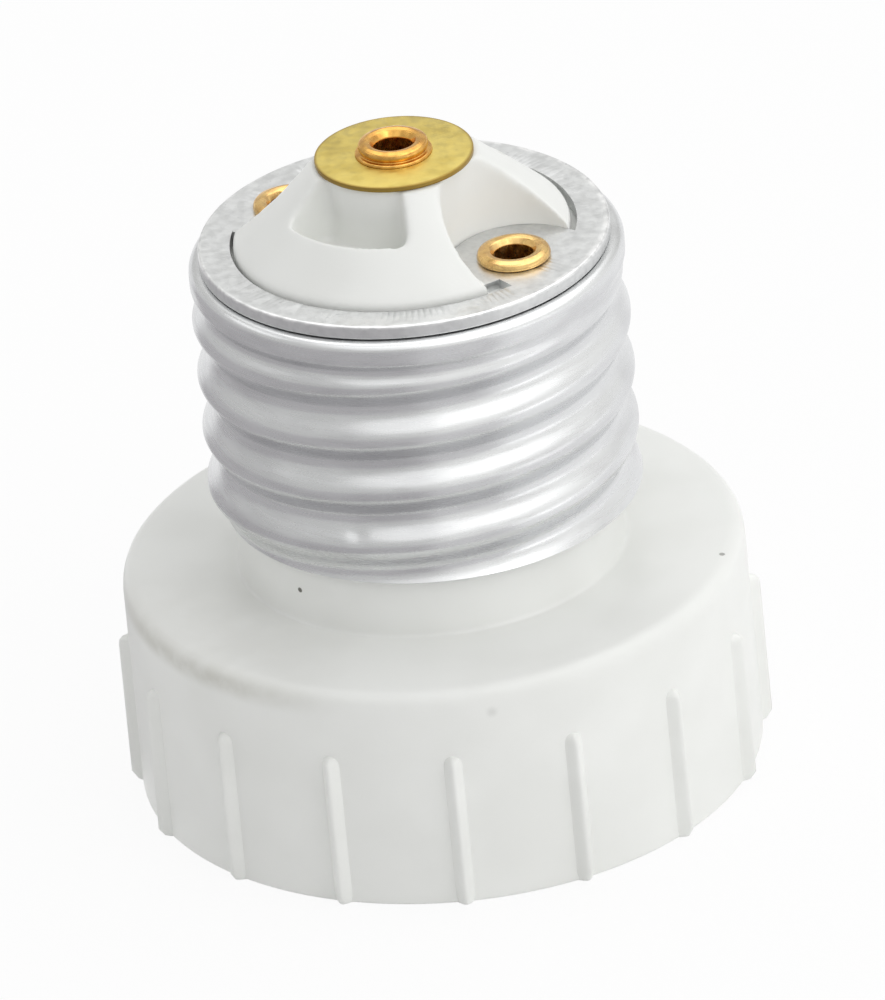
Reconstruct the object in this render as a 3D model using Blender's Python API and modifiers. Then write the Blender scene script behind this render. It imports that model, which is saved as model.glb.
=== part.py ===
"""Lamp socket adapter: a medium screw base on a ribbed cap with a two-pin twist-lock face.

The object stands on the rim of its cap. The origin is the bottom centre and +Z runs along
the screw axis to the centre contact. Sizes are real sizes in millimetres, turned into
metres by mm(). Round pieces are half sections turned about the axis.
"""
import math

import bmesh
import bpy
import mathutils

MM = 0.001

# Clearance between pieces that touch, how far a cutter runs past a face, and what counts as one point
SEAT = 0.3
CUT_RUN = 1.0
WELD = 0.01

# Facets of a large circle, a small circle and a fine detail
LARGE_STEPS = 48
SMALL_STEPS = 24
FINE_STEPS = 12
RIB_STEPS = 10
CAP_EDGE_STEPS = 3
NECK_FILLET_STEPS = 2

# Cap
CAP_HEIGHT = 14.4
CAP_RADIUS = 19.06
CAP_DRAFT = 0.12
CAP_EDGE = 1.4
CAP_ROOF = 2.0
CAP_WALL = 2.8
SHOULDER_WIDTH = 1.05

# Ribs on the cap
RIB_COUNT = 16
RIB_RADIUS = 0.42
RIB_PROUD = 0.78
RIB_TOP = 10.4
RIB_TOP_ROUND = 0.34
FRONT_ANGLE = -90.0

# Neck, and the core inside the shell
NECK_HEIGHT = 4.3
NECK_STEP = 0.1
NECK_RUN = 0.8
NECK_FILLET = 0.3
NECK_WALL = 1.7
LAND_THICKNESS = 2.42

# Screw shell
THREAD_PITCH = 3.63
THREAD_PROUD = 0.1
THREAD_DEPTH = 0.87
THREAD_START = 6.1
SHELL_HEIGHT = 16.17
SHELL_GAUGE = 0.28
SHELL_SEGMENTS = 46
SHELL_ROWS = 26
RIM_PROUD = 0.65
RIM_ROLL = 0.6
RIM_ROLL_STEPS = 3
RIM_LIP_CLEARANCE = 1.0
RUNOUT_START = 3.0
RUNOUT_END = 1.2

# Plate that clamps the shell, whose radius sets those of the shell, the core and the wings
PLATE_THICKNESS = 0.6
PLATE_RADIUS = 12.45
PLATE_RING = 1.95
PLATE_EDGE = 0.15
OPENING_CLEARANCE = 0.35
NOTCH_WIDTH = 1.2
NOTCH_RUN = 0.02
NOTCH_FROM = -32.0
NOTCH_TO = -18.0
NOTCH_STEPS = 4

# Insulator above the plate
HUB_RISE = 4.73
HUB_RADIUS = 5.4
HUB_EDGE = 0.2
HUB_BORE = 3.2
HUB_ROOF = 3.9
WING_RISE = 0.23
WING_EDGE = 0.2
VALLEY_WALL = 0.85
POCKET_LIP_RADIUS = 7.3
POCKET_WALL = 1.3
POCKET_DEPTH = 3.8
POCKET_HALF_ANGLE = 34.0
POCKET_ANGLES = (-121.5, 58.5)

# Centre contact
DISC_THICKNESS = 0.33
DISC_RADIUS = 4.8

# Hollow rivets
RIVET_SHANK = 1.45
RIVET_BORE = 1.15
RIVET_HEAD = 2.25
RIVET_MOUTH = 0.2
RIVET_MOUTH_DEPTH = 0.35
RIVET_TAIL = 1.85
RIVET_TAIL_HEIGHT = 0.5
HEAD_ROUND = 0.3
CENTRE_HEAD_HEIGHT = 0.72
SIDE_HEAD_HEIGHT = 0.5
SIDE_RIVET_INSET = 4.0
SIDE_RIVET_ANGLES = (-36.5, 143.5)
WASHER_RADIUS = 2.05
WASHER_THICKNESS = 0.5

# Contact strips
STRIP_GAUGE = 0.45
STRIP_BEND = 0.6
STRIP_ROOM = 2.1
TAB_WALL = 0.3
TAB_END_TURNS = (75.0, 45.0, 15.0)
LEG_HALF_WIDTH = 1.25
PAD_HALF_WIDTH = 2.3
NEUTRAL_RUN = 5.6
LINE_CLEARANCE = 0.8
LINE_LEG_LENGTH = 6.0
LEAF_CLEARANCE = 1.0
LEAF_BOTTOM = 4.4
LEAF_WAIST_HEIGHT = 2.4
LEAF_SPRING = 0.25
RIVET_POCKET_DEPTH = 8.0

# Face cover
COVER_RECESS = 0.5
COVER_THICKNESS = 2.3
COVER_EDGE = 0.3
PIN_INSET = 5.01
ENTRY_RADIUS = 3.0
SLOT_HALF_WIDTH = 1.6
TWIST_ANGLE = 28.0

# Cover screws
SCREW_INSET = 4.51
SCREW_ANGLES = (39.0, 219.0)
SCREW_HEAD_RADIUS = 2.2
SCREW_HEAD_HEIGHT = 1.0
SCREW_HEAD_ROUND = 0.4
SCREW_SHANK_RADIUS = 1.2
SCREW_LENGTH = 8.0
SCREW_POINT = 0.6
COUNTERBORE_DEPTH = 1.4
RECESS_LENGTH = 2.4
RECESS_WIDTH = 0.5
RECESS_DEPTH = 0.6
POST_RADIUS = 2.7
POST_ROOT = 0.5
TIP_ROOM = 0.5

# Radii that follow from the ones above
OPENING_RADIUS = PLATE_RADIUS - PLATE_RING
WING_RADIUS = OPENING_RADIUS - OPENING_CLEARANCE
RIM_RADIUS = PLATE_RADIUS + RIM_PROUD
RIM_LIP_RADIUS = OPENING_RADIUS + RIM_LIP_CLEARANCE
THREAD_CREST = RIM_RADIUS + THREAD_PROUD
THREAD_ROOT = THREAD_CREST - THREAD_DEPTH
SIDE_RIVET_CIRCLE = PLATE_RADIUS - SIDE_RIVET_INSET
VALLEY_RADIUS = SIDE_RIVET_CIRCLE - HUB_BORE - VALLEY_WALL
CORE_RADIUS = THREAD_ROOT - SHELL_GAUGE - SEAT
NECK_RADIUS = CORE_RADIUS + NECK_STEP
BORE_RADIUS = CORE_RADIUS - NECK_WALL
CAP_INNER_RADIUS = CAP_RADIUS - CAP_WALL
RIM_INNER_RADIUS = CAP_INNER_RADIUS + SHOULDER_WIDTH
COVER_RADIUS = RIM_INNER_RADIUS - SEAT
PIN_CIRCLE = COVER_RADIUS - PIN_INSET
SCREW_CIRCLE = COVER_RADIUS - SCREW_INSET
TAB_RADIUS = VALLEY_RADIUS - SEAT
POCKET_INNER_RADIUS = HUB_BORE + POCKET_WALL
RIVET_HOLE = RIVET_SHANK + SEAT
TAB_HALF_WIDTH = RIVET_HOLE + TAB_WALL
RIVET_POCKET_RADIUS = TAB_HALF_WIDTH + SEAT
LINE_RUN = HUB_BORE - LINE_CLEARANCE
LEAF_RADIUS = CAP_INNER_RADIUS - LEAF_CLEARANCE

# Heights that follow from the sizes above, from the rim of the cap upwards
COVER_BOTTOM = COVER_RECESS
COVER_TOP = COVER_BOTTOM + COVER_THICKNESS
SHOULDER = COVER_TOP + SEAT
ROOF_BOTTOM = CAP_HEIGHT - CAP_ROOF
STRIP_HEIGHT = ROOF_BOTTOM - STRIP_ROOM
SHELL_BOTTOM = CAP_HEIGHT + NECK_HEIGHT
SHELL_TOP = SHELL_BOTTOM + SHELL_HEIGHT
CORE_TOP = SHELL_TOP - SHELL_GAUGE - SEAT
LAND_TOP = SHELL_TOP
LAND_BOTTOM = LAND_TOP - LAND_THICKNESS
PLATE_BOTTOM = SHELL_TOP + SEAT
PLATE_TOP = PLATE_BOTTOM + PLATE_THICKNESS
WING_TOP = PLATE_TOP + WING_RISE
HUB_TOP = PLATE_TOP + HUB_RISE
HUB_BORE_TOP = HUB_TOP - HUB_ROOF
POCKET_FLOOR = HUB_TOP - POCKET_DEPTH
DISC_BOTTOM = HUB_TOP + SEAT
DISC_TOP = DISC_BOTTOM + DISC_THICKNESS


def mm(value):
    """Millimetres as metres."""
    return value * MM


def ring_place(radius, degrees):
    """Plan position in millimetres of a feature on a circle about the axis."""
    angle = math.radians(degrees)
    return (radius * math.cos(angle), radius * math.sin(angle))


def on_circle(radius, degrees, height=0.0):
    """A point in metres at a radius, an angle about the axis and a height."""
    x, y = ring_place(radius, degrees)
    return (mm(x), mm(y), mm(height))


def arc_points(centre_radius, centre_height, radius, start, end, steps):
    """Points (radius, height) along an arc of a profile, from one angle to another."""
    points = []
    for step in range(steps + 1):
        angle = math.radians(start + (end - start) * step / steps)
        points.append((centre_radius + radius * math.cos(angle), centre_height + radius * math.sin(angle)))
    return points


def clear_scene():
    """Remove what the new file holds."""
    for obj in list(bpy.data.objects):
        bpy.data.objects.remove(obj, do_unlink=True)


def make_collection(name, hidden=False):
    """A collection in the scene, hidden from renders if it holds cutters."""
    group = bpy.data.collections.new(name)
    bpy.context.scene.collection.children.link(group)
    group.hide_render = hidden
    return group


def material(name, colour, metallic, roughness):
    """A Principled material of one plain colour."""
    mat = bpy.data.materials.new(name)
    mat.use_nodes = True
    shader = mat.node_tree.nodes["Principled BSDF"]
    shader.inputs["Base Color"].default_value = (*colour, 1.0)
    shader.inputs["Metallic"].default_value = metallic
    shader.inputs["Roughness"].default_value = roughness
    return mat


def add_mesh(name, mesh, mat):
    """A piece of the adapter."""
    obj = bpy.data.objects.new(name, mesh)
    PARTS.objects.link(obj)
    mesh.materials.append(mat)
    return obj


def add_cutter(name, mesh):
    """A cutter: shown as wire and left out of renders."""
    obj = bpy.data.objects.new(name, mesh)
    CUTTERS.objects.link(obj)
    obj.display_type = "WIRE"
    obj.hide_render = True
    return obj


def turned(name, points, steps, mat):
    """A body turned about the axis from a closed outline that runs down its outer side."""
    mesh = bpy.data.meshes.new(name)
    count = len(points)
    edges = [(i, (i + 1) % count) for i in range(count)]
    mesh.from_pydata([(mm(radius), 0.0, mm(height)) for radius, height in points], edges, [])
    obj = add_mesh(name, mesh, mat)
    turn = obj.modifiers.new("Turn", "SCREW")
    turn.axis = "Z"
    turn.angle = math.tau
    turn.steps = steps
    turn.render_steps = steps
    turn.use_merge_vertices = True
    turn.merge_threshold = mm(WELD)
    turn.use_smooth_shade = False
    return obj


def finished_mesh(name, bm):
    """A mesh made from edited geometry, with its faces turned outwards."""
    bmesh.ops.recalc_face_normals(bm, faces=bm.faces)
    mesh = bpy.data.meshes.new(name)
    bm.to_mesh(mesh)
    bm.free()
    return mesh


def cylinder_mesh(name, radius, bottom, top, steps, centre=(0.0, 0.0)):
    """An upright cylinder."""
    bm = bmesh.new()
    bmesh.ops.create_cone(bm, cap_ends=True, segments=steps, radius1=mm(radius), radius2=mm(radius),
                          depth=mm(top - bottom))
    bmesh.ops.translate(bm, verts=bm.verts, vec=(mm(centre[0]), mm(centre[1]), mm((top + bottom) / 2)))
    return finished_mesh(name, bm)


def sector_mesh(name, inner, outer, bottom, top, start, end, steps):
    """A block swept about the axis from one angle to another."""
    bm = bmesh.new()
    corners = [(inner, bottom), (outer, bottom), (outer, top), (inner, top)]
    section = bm.faces.new([bm.verts.new(on_circle(radius, start, height)) for radius, height in corners])
    geometry = [section] + list(section.verts) + list(section.edges)
    bmesh.ops.spin(bm, geom=geometry, cent=(0, 0, 0), axis=(0, 0, 1), angle=math.radians(end - start),
                   steps=steps, use_duplicate=False)
    return finished_mesh(name, bm)


def joined_mesh(name, meshes):
    """One mesh that holds several bodies that stand apart."""
    bm = bmesh.new()
    for mesh in meshes:
        bm.from_mesh(mesh)
        bpy.data.meshes.remove(mesh)
    return finished_mesh(name, bm)


def cut(obj, cutter, operation="DIFFERENCE"):
    """Take a cutter away from an object, or join it on."""
    boolean = obj.modifiers.new(cutter.name, "BOOLEAN")
    boolean.operation = operation
    boolean.solver = "EXACT"
    boolean.object = cutter


def rib_mesh(degrees):
    """One half-round rib on the cap wall, with a rounded upper end and a root in the wall."""
    bm = bmesh.new()
    bmesh.ops.create_cone(bm, cap_ends=True, segments=RIB_STEPS, radius1=mm(RIB_RADIUS),
                          radius2=mm(RIB_RADIUS), depth=mm(RIB_TOP))
    bmesh.ops.translate(bm, verts=bm.verts, vec=(0.0, 0.0, mm(RIB_TOP / 2)))
    upper_edges = [edge for edge in bm.edges if min(v.co.z for v in edge.verts) > mm(RIB_TOP / 2)]
    bmesh.ops.bevel(bm, geom=upper_edges, offset=mm(RIB_TOP_ROUND), segments=2, profile=0.5,
                    affect="EDGES", clamp_overlap=True)
    root = [vert for vert in bm.verts if vert.co.x < -mm(RIB_RADIUS / 2)]
    bmesh.ops.translate(bm, verts=root, vec=(-mm(RIB_RADIUS), 0.0, 0.0))
    bmesh.ops.translate(bm, verts=bm.verts, vec=(mm(CAP_RADIUS + RIB_PROUD - RIB_RADIUS), 0.0, 0.0))
    turn = mathutils.Matrix.Rotation(math.radians(degrees), 3, "Z")
    bmesh.ops.rotate(bm, verts=bm.verts, cent=(0, 0, 0), matrix=turn)
    return finished_mesh("rib", bm)


def housing_outline():
    """Half section of the moulding: insulator, core, neck and cap, then its hollow."""
    neck_corner = arc_points(NECK_RADIUS + NECK_FILLET, CAP_HEIGHT + NECK_FILLET, NECK_FILLET,
                             180.0, 270.0, NECK_FILLET_STEPS)
    cap_corner = arc_points(CAP_RADIUS - CAP_EDGE, CAP_HEIGHT - CAP_EDGE, CAP_EDGE, 90.0, 0.0, CAP_EDGE_STEPS)
    land_radius = RIM_LIP_RADIUS - SEAT
    return [
        (HUB_RADIUS - HUB_EDGE, HUB_TOP),
        (HUB_RADIUS, HUB_TOP - HUB_EDGE),
        (WING_RADIUS - WING_EDGE, WING_TOP),
        (WING_RADIUS, WING_TOP - WING_EDGE),
        (WING_RADIUS, LAND_TOP),
        (land_radius, LAND_TOP),
        (land_radius, CORE_TOP),
        (CORE_RADIUS, CORE_TOP),
        (CORE_RADIUS, SHELL_BOTTOM + NECK_RUN),
        (NECK_RADIUS, SHELL_BOTTOM + NECK_RUN),
        *neck_corner,
        *cap_corner,
        (CAP_RADIUS + CAP_DRAFT, 0.0),
        (RIM_INNER_RADIUS, 0.0),
        (RIM_INNER_RADIUS, SHOULDER),
        (CAP_INNER_RADIUS, SHOULDER),
        (CAP_INNER_RADIUS, ROOF_BOTTOM),
        (BORE_RADIUS, ROOF_BOTTOM),
        (BORE_RADIUS, LAND_BOTTOM),
        (HUB_BORE, LAND_BOTTOM),
        (HUB_BORE, HUB_BORE_TOP),
        (RIVET_HOLE, HUB_BORE_TOP),
        (RIVET_HOLE, HUB_TOP),
    ]


def build_housing(mat):
    """The white moulding: turned, with ribs and posts added, and valleys, pockets and holes cut."""
    housing = turned("housing", housing_outline(), LARGE_STEPS, mat)

    ribs = [rib_mesh(FRONT_ANGLE + index * 360.0 / RIB_COUNT) for index in range(RIB_COUNT)]
    cut(housing, add_cutter("ribs", joined_mesh("ribs", ribs)), "UNION")

    posts = []
    screw_holes = []
    screw_hole_top = COVER_BOTTOM + COUNTERBORE_DEPTH + SCREW_LENGTH + TIP_ROOM
    for angle in SCREW_ANGLES:
        place = ring_place(SCREW_CIRCLE, angle)
        posts.append(cylinder_mesh("post", POST_RADIUS, SHOULDER, ROOF_BOTTOM + POST_ROOT, FINE_STEPS, place))
        screw_holes.append(cylinder_mesh("hole", SCREW_SHANK_RADIUS + SEAT, SHOULDER - CUT_RUN,
                                         screw_hole_top, FINE_STEPS, place))
    cut(housing, add_cutter("screw_posts", joined_mesh("screw_posts", posts)), "UNION")
    cut(housing, add_cutter("screw_holes", joined_mesh("screw_holes", screw_holes)))

    valleys = []
    for angle in SIDE_RIVET_ANGLES:
        valleys.append(cylinder_mesh("valley", VALLEY_RADIUS, LAND_TOP, HUB_TOP + CUT_RUN, LARGE_STEPS,
                                     ring_place(SIDE_RIVET_CIRCLE, angle)))
    cut(housing, add_cutter("valleys", joined_mesh("valleys", valleys)))

    pockets = []
    for angle in POCKET_ANGLES:
        pockets.append(sector_mesh("pocket", POCKET_INNER_RADIUS, POCKET_LIP_RADIUS, POCKET_FLOOR,
                                   HUB_TOP + CUT_RUN, angle - POCKET_HALF_ANGLE, angle + POCKET_HALF_ANGLE,
                                   RIB_STEPS))
    cut(housing, add_cutter("pockets", joined_mesh("pockets", pockets)))

    rivet_pockets = []
    rivet_holes = []
    for angle in SIDE_RIVET_ANGLES:
        place = ring_place(SIDE_RIVET_CIRCLE, angle)
        rivet_pockets.append(cylinder_mesh("pocket", RIVET_POCKET_RADIUS, LAND_BOTTOM - RIVET_POCKET_DEPTH,
                                           LAND_BOTTOM, SMALL_STEPS, place))
        rivet_holes.append(cylinder_mesh("hole", RIVET_HOLE, LAND_BOTTOM - CUT_RUN, LAND_TOP + CUT_RUN,
                                         SMALL_STEPS, place))
    cut(housing, add_cutter("rivet_pockets", joined_mesh("rivet_pockets", rivet_pockets)))
    cut(housing, add_cutter("rivet_holes", joined_mesh("rivet_holes", rivet_holes)))


def thread_radius(height, angle):
    """Outer radius of the rolled thread, which runs out into the round rim at its top."""
    middle = (THREAD_CREST + THREAD_ROOT) / 2
    depth = (THREAD_CREST - THREAD_ROOT) / 2
    lead = THREAD_PITCH * (angle - math.radians(FRONT_ANGLE)) / math.tau
    crest_height = SHELL_BOTTOM + THREAD_START + lead
    thread = middle + depth * math.cos(math.tau * (height - crest_height) / THREAD_PITCH)
    share = (height - (SHELL_TOP - RUNOUT_START)) / (RUNOUT_START - RUNOUT_END)
    share = min(max(share, 0.0), 1.0)
    share = share * share * (3 - 2 * share)
    return thread + (THREAD_ROOT + (RIM_RADIUS - THREAD_ROOT) * share - thread) * share


def build_screw_shell(mat):
    """The threaded shell: rings lofted from its edge to its rolled rim, then given their gauge."""
    thread_top = SHELL_TOP - RIM_ROLL
    row_height = (thread_top - SHELL_BOTTOM) / SHELL_ROWS
    heights = [SHELL_BOTTOM + row_height * row for row in range(SHELL_ROWS + 1)]
    roll = arc_points(RIM_RADIUS - RIM_ROLL, thread_top, RIM_ROLL, 0.0, 90.0, RIM_ROLL_STEPS)[1:]
    roll.append((RIM_LIP_RADIUS, SHELL_TOP))
    angles = [math.tau * segment / SHELL_SEGMENTS - math.pi for segment in range(SHELL_SEGMENTS)]
    sections = [[(thread_radius(height, angle), height) for angle in angles] for height in heights]
    sections += [[point] * SHELL_SEGMENTS for point in roll]
    bm = bmesh.new()
    rings = []
    for section in sections:
        rings.append([bm.verts.new(on_circle(radius, math.degrees(angle), height))
                      for angle, (radius, height) in zip(angles, section)])
    for lower, upper in zip(rings, rings[1:]):
        for index in range(SHELL_SEGMENTS):
            bm.faces.new((lower[index - 1], lower[index], upper[index], upper[index - 1]))
    shell = add_mesh("screw_shell", finished_mesh("screw_shell", bm), mat)
    wall = shell.modifiers.new("Wall", "SOLIDIFY")
    wall.thickness = mm(SHELL_GAUGE)
    wall.offset = -1.0
    wall.use_even_offset = True


def build_clamp_plate(mat):
    """The ring that clamps the shell, with a tab round each side rivet."""
    outline = [
        (PLATE_RADIUS - PLATE_EDGE, PLATE_TOP),
        (PLATE_RADIUS, PLATE_TOP - PLATE_EDGE),
        (PLATE_RADIUS, PLATE_BOTTOM),
        (0.0, PLATE_BOTTOM),
        (0.0, PLATE_TOP),
    ]
    plate = turned("shell_clamp_plate", outline, LARGE_STEPS, mat)
    low = PLATE_BOTTOM - CUT_RUN
    high = PLATE_TOP + CUT_RUN

    tabs = []
    notches = []
    for angle in SIDE_RIVET_ANGLES:
        tabs.append(cylinder_mesh("tab", TAB_RADIUS, low - CUT_RUN, high + CUT_RUN, LARGE_STEPS,
                                  ring_place(SIDE_RIVET_CIRCLE, angle)))
        notches.append(sector_mesh("notch", OPENING_RADIUS - NOTCH_WIDTH, OPENING_RADIUS + NOTCH_RUN,
                                   low, high, angle + NOTCH_FROM, angle + NOTCH_TO, NOTCH_STEPS))
    opening_mesh = cylinder_mesh("plate_opening", OPENING_RADIUS, low, high, LARGE_STEPS)
    opening = add_cutter("plate_opening", opening_mesh)
    cut(opening, add_cutter("plate_tabs", joined_mesh("plate_tabs", tabs)))
    cut(plate, opening)
    cut(plate, add_cutter("plate_notches", joined_mesh("plate_notches", notches)))

    holes = []
    for angle in SIDE_RIVET_ANGLES:
        holes.append(cylinder_mesh("hole", RIVET_HOLE, low, high, SMALL_STEPS,
                                   ring_place(SIDE_RIVET_CIRCLE, angle)))
    cut(plate, add_cutter("plate_rivet_holes", joined_mesh("plate_rivet_holes", holes)))


def build_ring(name, outer, inner, bottom, top, steps, mat):
    """A flat ring."""
    return turned(name, [(outer, top), (outer, bottom), (inner, bottom), (inner, top)], steps, mat)


def build_rivet(name, seat, head_height, shank_end, mat):
    """A hollow rivet with a rolled head above its seat and a flared tail below."""
    low = seat + SEAT
    high = low + head_height
    round_off = min(HEAD_ROUND, head_height / 2)
    tail = shank_end - RIVET_TAIL_HEIGHT
    outline = [
        (RIVET_BORE + RIVET_MOUTH, high - round_off / 2),
        (RIVET_BORE + RIVET_MOUTH + round_off / 2, high),
        (RIVET_HEAD - round_off, high),
        (RIVET_HEAD, high - round_off),
        (RIVET_HEAD, low + round_off / 2),
        (RIVET_HEAD - round_off / 2, low),
        (RIVET_SHANK, low),
        (RIVET_SHANK, shank_end),
        (RIVET_TAIL, shank_end),
        (RIVET_TAIL, tail),
        (RIVET_BORE, tail),
        (RIVET_BORE, high - round_off / 2 - RIVET_MOUTH_DEPTH),
    ]
    return turned(name, outline, SMALL_STEPS, mat)


def build_rivets(brass, steel):
    """The centre rivet, the two side rivets and the washer inside side rivet b."""
    centre_end = HUB_BORE_TOP - SEAT - STRIP_GAUGE - SEAT
    build_rivet("center_rivet", DISC_TOP, CENTRE_HEAD_HEIGHT, centre_end, brass)
    shank_end = LAND_BOTTOM - SEAT - max(WASHER_THICKNESS, STRIP_GAUGE) - SEAT
    for letter, angle in zip("ab", SIDE_RIVET_ANGLES):
        rivet = build_rivet("side_rivet_" + letter, PLATE_TOP, SIDE_HEAD_HEIGHT, shank_end, brass)
        rivet.location = on_circle(SIDE_RIVET_CIRCLE, angle)
    top = LAND_BOTTOM - SEAT
    bottom = top - WASHER_THICKNESS
    washer = build_ring("rivet_washer", WASHER_RADIUS, RIVET_HOLE, bottom, top, SMALL_STEPS, steel)
    washer.location = on_circle(SIDE_RIVET_CIRCLE, SIDE_RIVET_ANGLES[1])


def build_strip(name, route, hole_radius, degrees, mat):
    """A stamped strip bent along a route of (radius, height, half width) points, with a rivet hole."""
    bm = bmesh.new()
    rows = []
    for radius, height, half in route:
        rows.append([bm.verts.new((mm(radius), mm(side * half), mm(height))) for side in (-1, 1)])
    for before, after in zip(rows, rows[1:]):
        bm.faces.new((before[0], after[0], after[1], before[1]))
    strip = add_mesh(name, finished_mesh(name, bm), mat)
    gauge = strip.modifiers.new("Gauge", "SOLIDIFY")
    gauge.thickness = mm(STRIP_GAUGE)
    gauge.offset = 0.0
    gauge.use_even_offset = True
    strip.rotation_euler = (0.0, 0.0, math.radians(degrees))
    top = route[0][1]
    hole = cylinder_mesh(name + "_hole", RIVET_HOLE, top - CUT_RUN, top + CUT_RUN, SMALL_STEPS,
                         ring_place(hole_radius, degrees))
    cut(strip, add_cutter(name + "_hole", hole))


def tab_route(centre, height, way):
    """The rounded end of a strip, concentric with its rivet, on one side of it or the other."""
    route = []
    for turn in TAB_END_TURNS:
        half, reach = ring_place(TAB_HALF_WIDTH, turn)
        route.append((centre + way * reach, height, half))
    return route


def foot_route(run):
    """The lower part of a strip: its foot, the pad over the pin and the spring leaf beside it."""
    return [
        (run, STRIP_HEIGHT + STRIP_BEND, PAD_HALF_WIDTH),
        (run + STRIP_BEND, STRIP_HEIGHT, PAD_HALF_WIDTH),
        (LEAF_RADIUS - STRIP_BEND, STRIP_HEIGHT, PAD_HALF_WIDTH),
        (LEAF_RADIUS, STRIP_HEIGHT - STRIP_BEND, PAD_HALF_WIDTH),
        (LEAF_RADIUS - LEAF_SPRING, LEAF_BOTTOM + LEAF_WAIST_HEIGHT, PAD_HALF_WIDTH),
        (LEAF_RADIUS, LEAF_BOTTOM, PAD_HALF_WIDTH),
    ]


def build_contacts(mat):
    """The strips that join the rivets to the two lamp pins."""
    neutral_top = LAND_BOTTOM - SEAT - STRIP_GAUGE / 2
    neutral = tab_route(SIDE_RIVET_CIRCLE, neutral_top, 1) + [
        (SIDE_RIVET_CIRCLE, neutral_top, TAB_HALF_WIDTH),
        (NEUTRAL_RUN + STRIP_BEND, neutral_top, TAB_HALF_WIDTH),
        (NEUTRAL_RUN, neutral_top - STRIP_BEND, TAB_HALF_WIDTH),
    ] + foot_route(NEUTRAL_RUN)
    build_strip("neutral_contact", neutral, SIDE_RIVET_CIRCLE, SIDE_RIVET_ANGLES[0], mat)

    line_top = HUB_BORE_TOP - SEAT - STRIP_GAUGE / 2
    line_bend = STRIP_BEND / 2
    line = tab_route(0.0, line_top, -1) + [
        (0.0, line_top, TAB_HALF_WIDTH),
        (RIVET_HOLE, line_top, TAB_HALF_WIDTH),
        (LINE_RUN - line_bend, line_top, LEG_HALF_WIDTH),
        (LINE_RUN, line_top - line_bend, LEG_HALF_WIDTH),
        (LINE_RUN, line_top - LINE_LEG_LENGTH, LEG_HALF_WIDTH),
    ] + foot_route(LINE_RUN)
    build_strip("line_contact", line, 0.0, SIDE_RIVET_ANGLES[1], mat)


def build_face_cover(mat):
    """The cover with a keyhole for each lamp pin: a round entry and a slot to turn along."""
    outline = [
        (COVER_RADIUS, COVER_TOP),
        (COVER_RADIUS, COVER_BOTTOM + COVER_EDGE),
        (COVER_RADIUS - COVER_EDGE, COVER_BOTTOM),
        (0.0, COVER_BOTTOM),
        (0.0, COVER_TOP),
    ]
    cover = turned("face_cover", outline, LARGE_STEPS, mat)
    low = COVER_BOTTOM - CUT_RUN
    high = COVER_TOP + CUT_RUN

    slots = []
    slot_ends = []
    entries = []
    for locked in SIDE_RIVET_ANGLES:
        entry = locked - TWIST_ANGLE
        slots.append(sector_mesh("slot", PIN_CIRCLE - SLOT_HALF_WIDTH, PIN_CIRCLE + SLOT_HALF_WIDTH,
                                 low, high, entry, locked, RIB_STEPS))
        slot_ends.append(cylinder_mesh("slot_end", SLOT_HALF_WIDTH, low, high, FINE_STEPS,
                                       ring_place(PIN_CIRCLE, locked)))
        entries.append(cylinder_mesh("entry", ENTRY_RADIUS, low, high, SMALL_STEPS,
                                     ring_place(PIN_CIRCLE, entry)))
    cut(cover, add_cutter("slots", joined_mesh("slots", slots)))
    cut(cover, add_cutter("slot_ends", joined_mesh("slot_ends", slot_ends)))
    cut(cover, add_cutter("entries", joined_mesh("entries", entries)))

    counterbores = []
    holes = []
    for angle in SCREW_ANGLES:
        place = ring_place(SCREW_CIRCLE, angle)
        counterbores.append(cylinder_mesh("counterbore", SCREW_HEAD_RADIUS + SEAT, low,
                                          COVER_BOTTOM + COUNTERBORE_DEPTH, SMALL_STEPS, place))
        holes.append(cylinder_mesh("hole", SCREW_SHANK_RADIUS + SEAT, low, high, FINE_STEPS, place))
    cut(cover, add_cutter("counterbores", joined_mesh("counterbores", counterbores)))
    cut(cover, add_cutter("cover_holes", joined_mesh("cover_holes", holes)))


def recess_mesh(name, across, along):
    """One bar of a screw's cross recess, centred on the head's face, so that half of it cuts."""
    bm = bmesh.new()
    bmesh.ops.create_cube(bm, size=1.0)
    bmesh.ops.scale(bm, verts=bm.verts, vec=(mm(across), mm(along), mm(2 * RECESS_DEPTH)))
    return finished_mesh(name, bm)


def build_cover_screws(mat):
    """Two pan-head screws with cross recesses, heads down in the counterbores."""
    head_top = COVER_BOTTOM + COUNTERBORE_DEPTH - SEAT
    head_bottom = head_top - SCREW_HEAD_HEIGHT
    tip = head_top + SCREW_LENGTH
    outline = [
        (0.0, tip),
        (SCREW_SHANK_RADIUS - SCREW_POINT, tip),
        (SCREW_SHANK_RADIUS, tip - SCREW_POINT),
        (SCREW_SHANK_RADIUS, head_top),
        (SCREW_HEAD_RADIUS, head_top),
        (SCREW_HEAD_RADIUS, head_bottom + SCREW_HEAD_ROUND),
        (SCREW_HEAD_RADIUS - SCREW_HEAD_ROUND, head_bottom),
        (0.0, head_bottom),
    ]
    bars = ((RECESS_WIDTH, RECESS_LENGTH), (RECESS_LENGTH, RECESS_WIDTH))
    for letter, angle in zip("ab", SCREW_ANGLES):
        name = "cover_screw_" + letter
        screw = turned(name, outline, FINE_STEPS, mat)
        screw.location = on_circle(SCREW_CIRCLE, angle)
        for index, (across, along) in enumerate(bars):
            recess_name = "%s_recess_%d" % (name, index)
            recess = add_cutter(recess_name, recess_mesh(recess_name, across, along))
            recess.location = on_circle(SCREW_CIRCLE, angle, head_bottom)
            cut(screw, recess)


clear_scene()
PARTS = make_collection("lamp_socket_adapter")
CUTTERS = make_collection("cutters", hidden=True)

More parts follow.
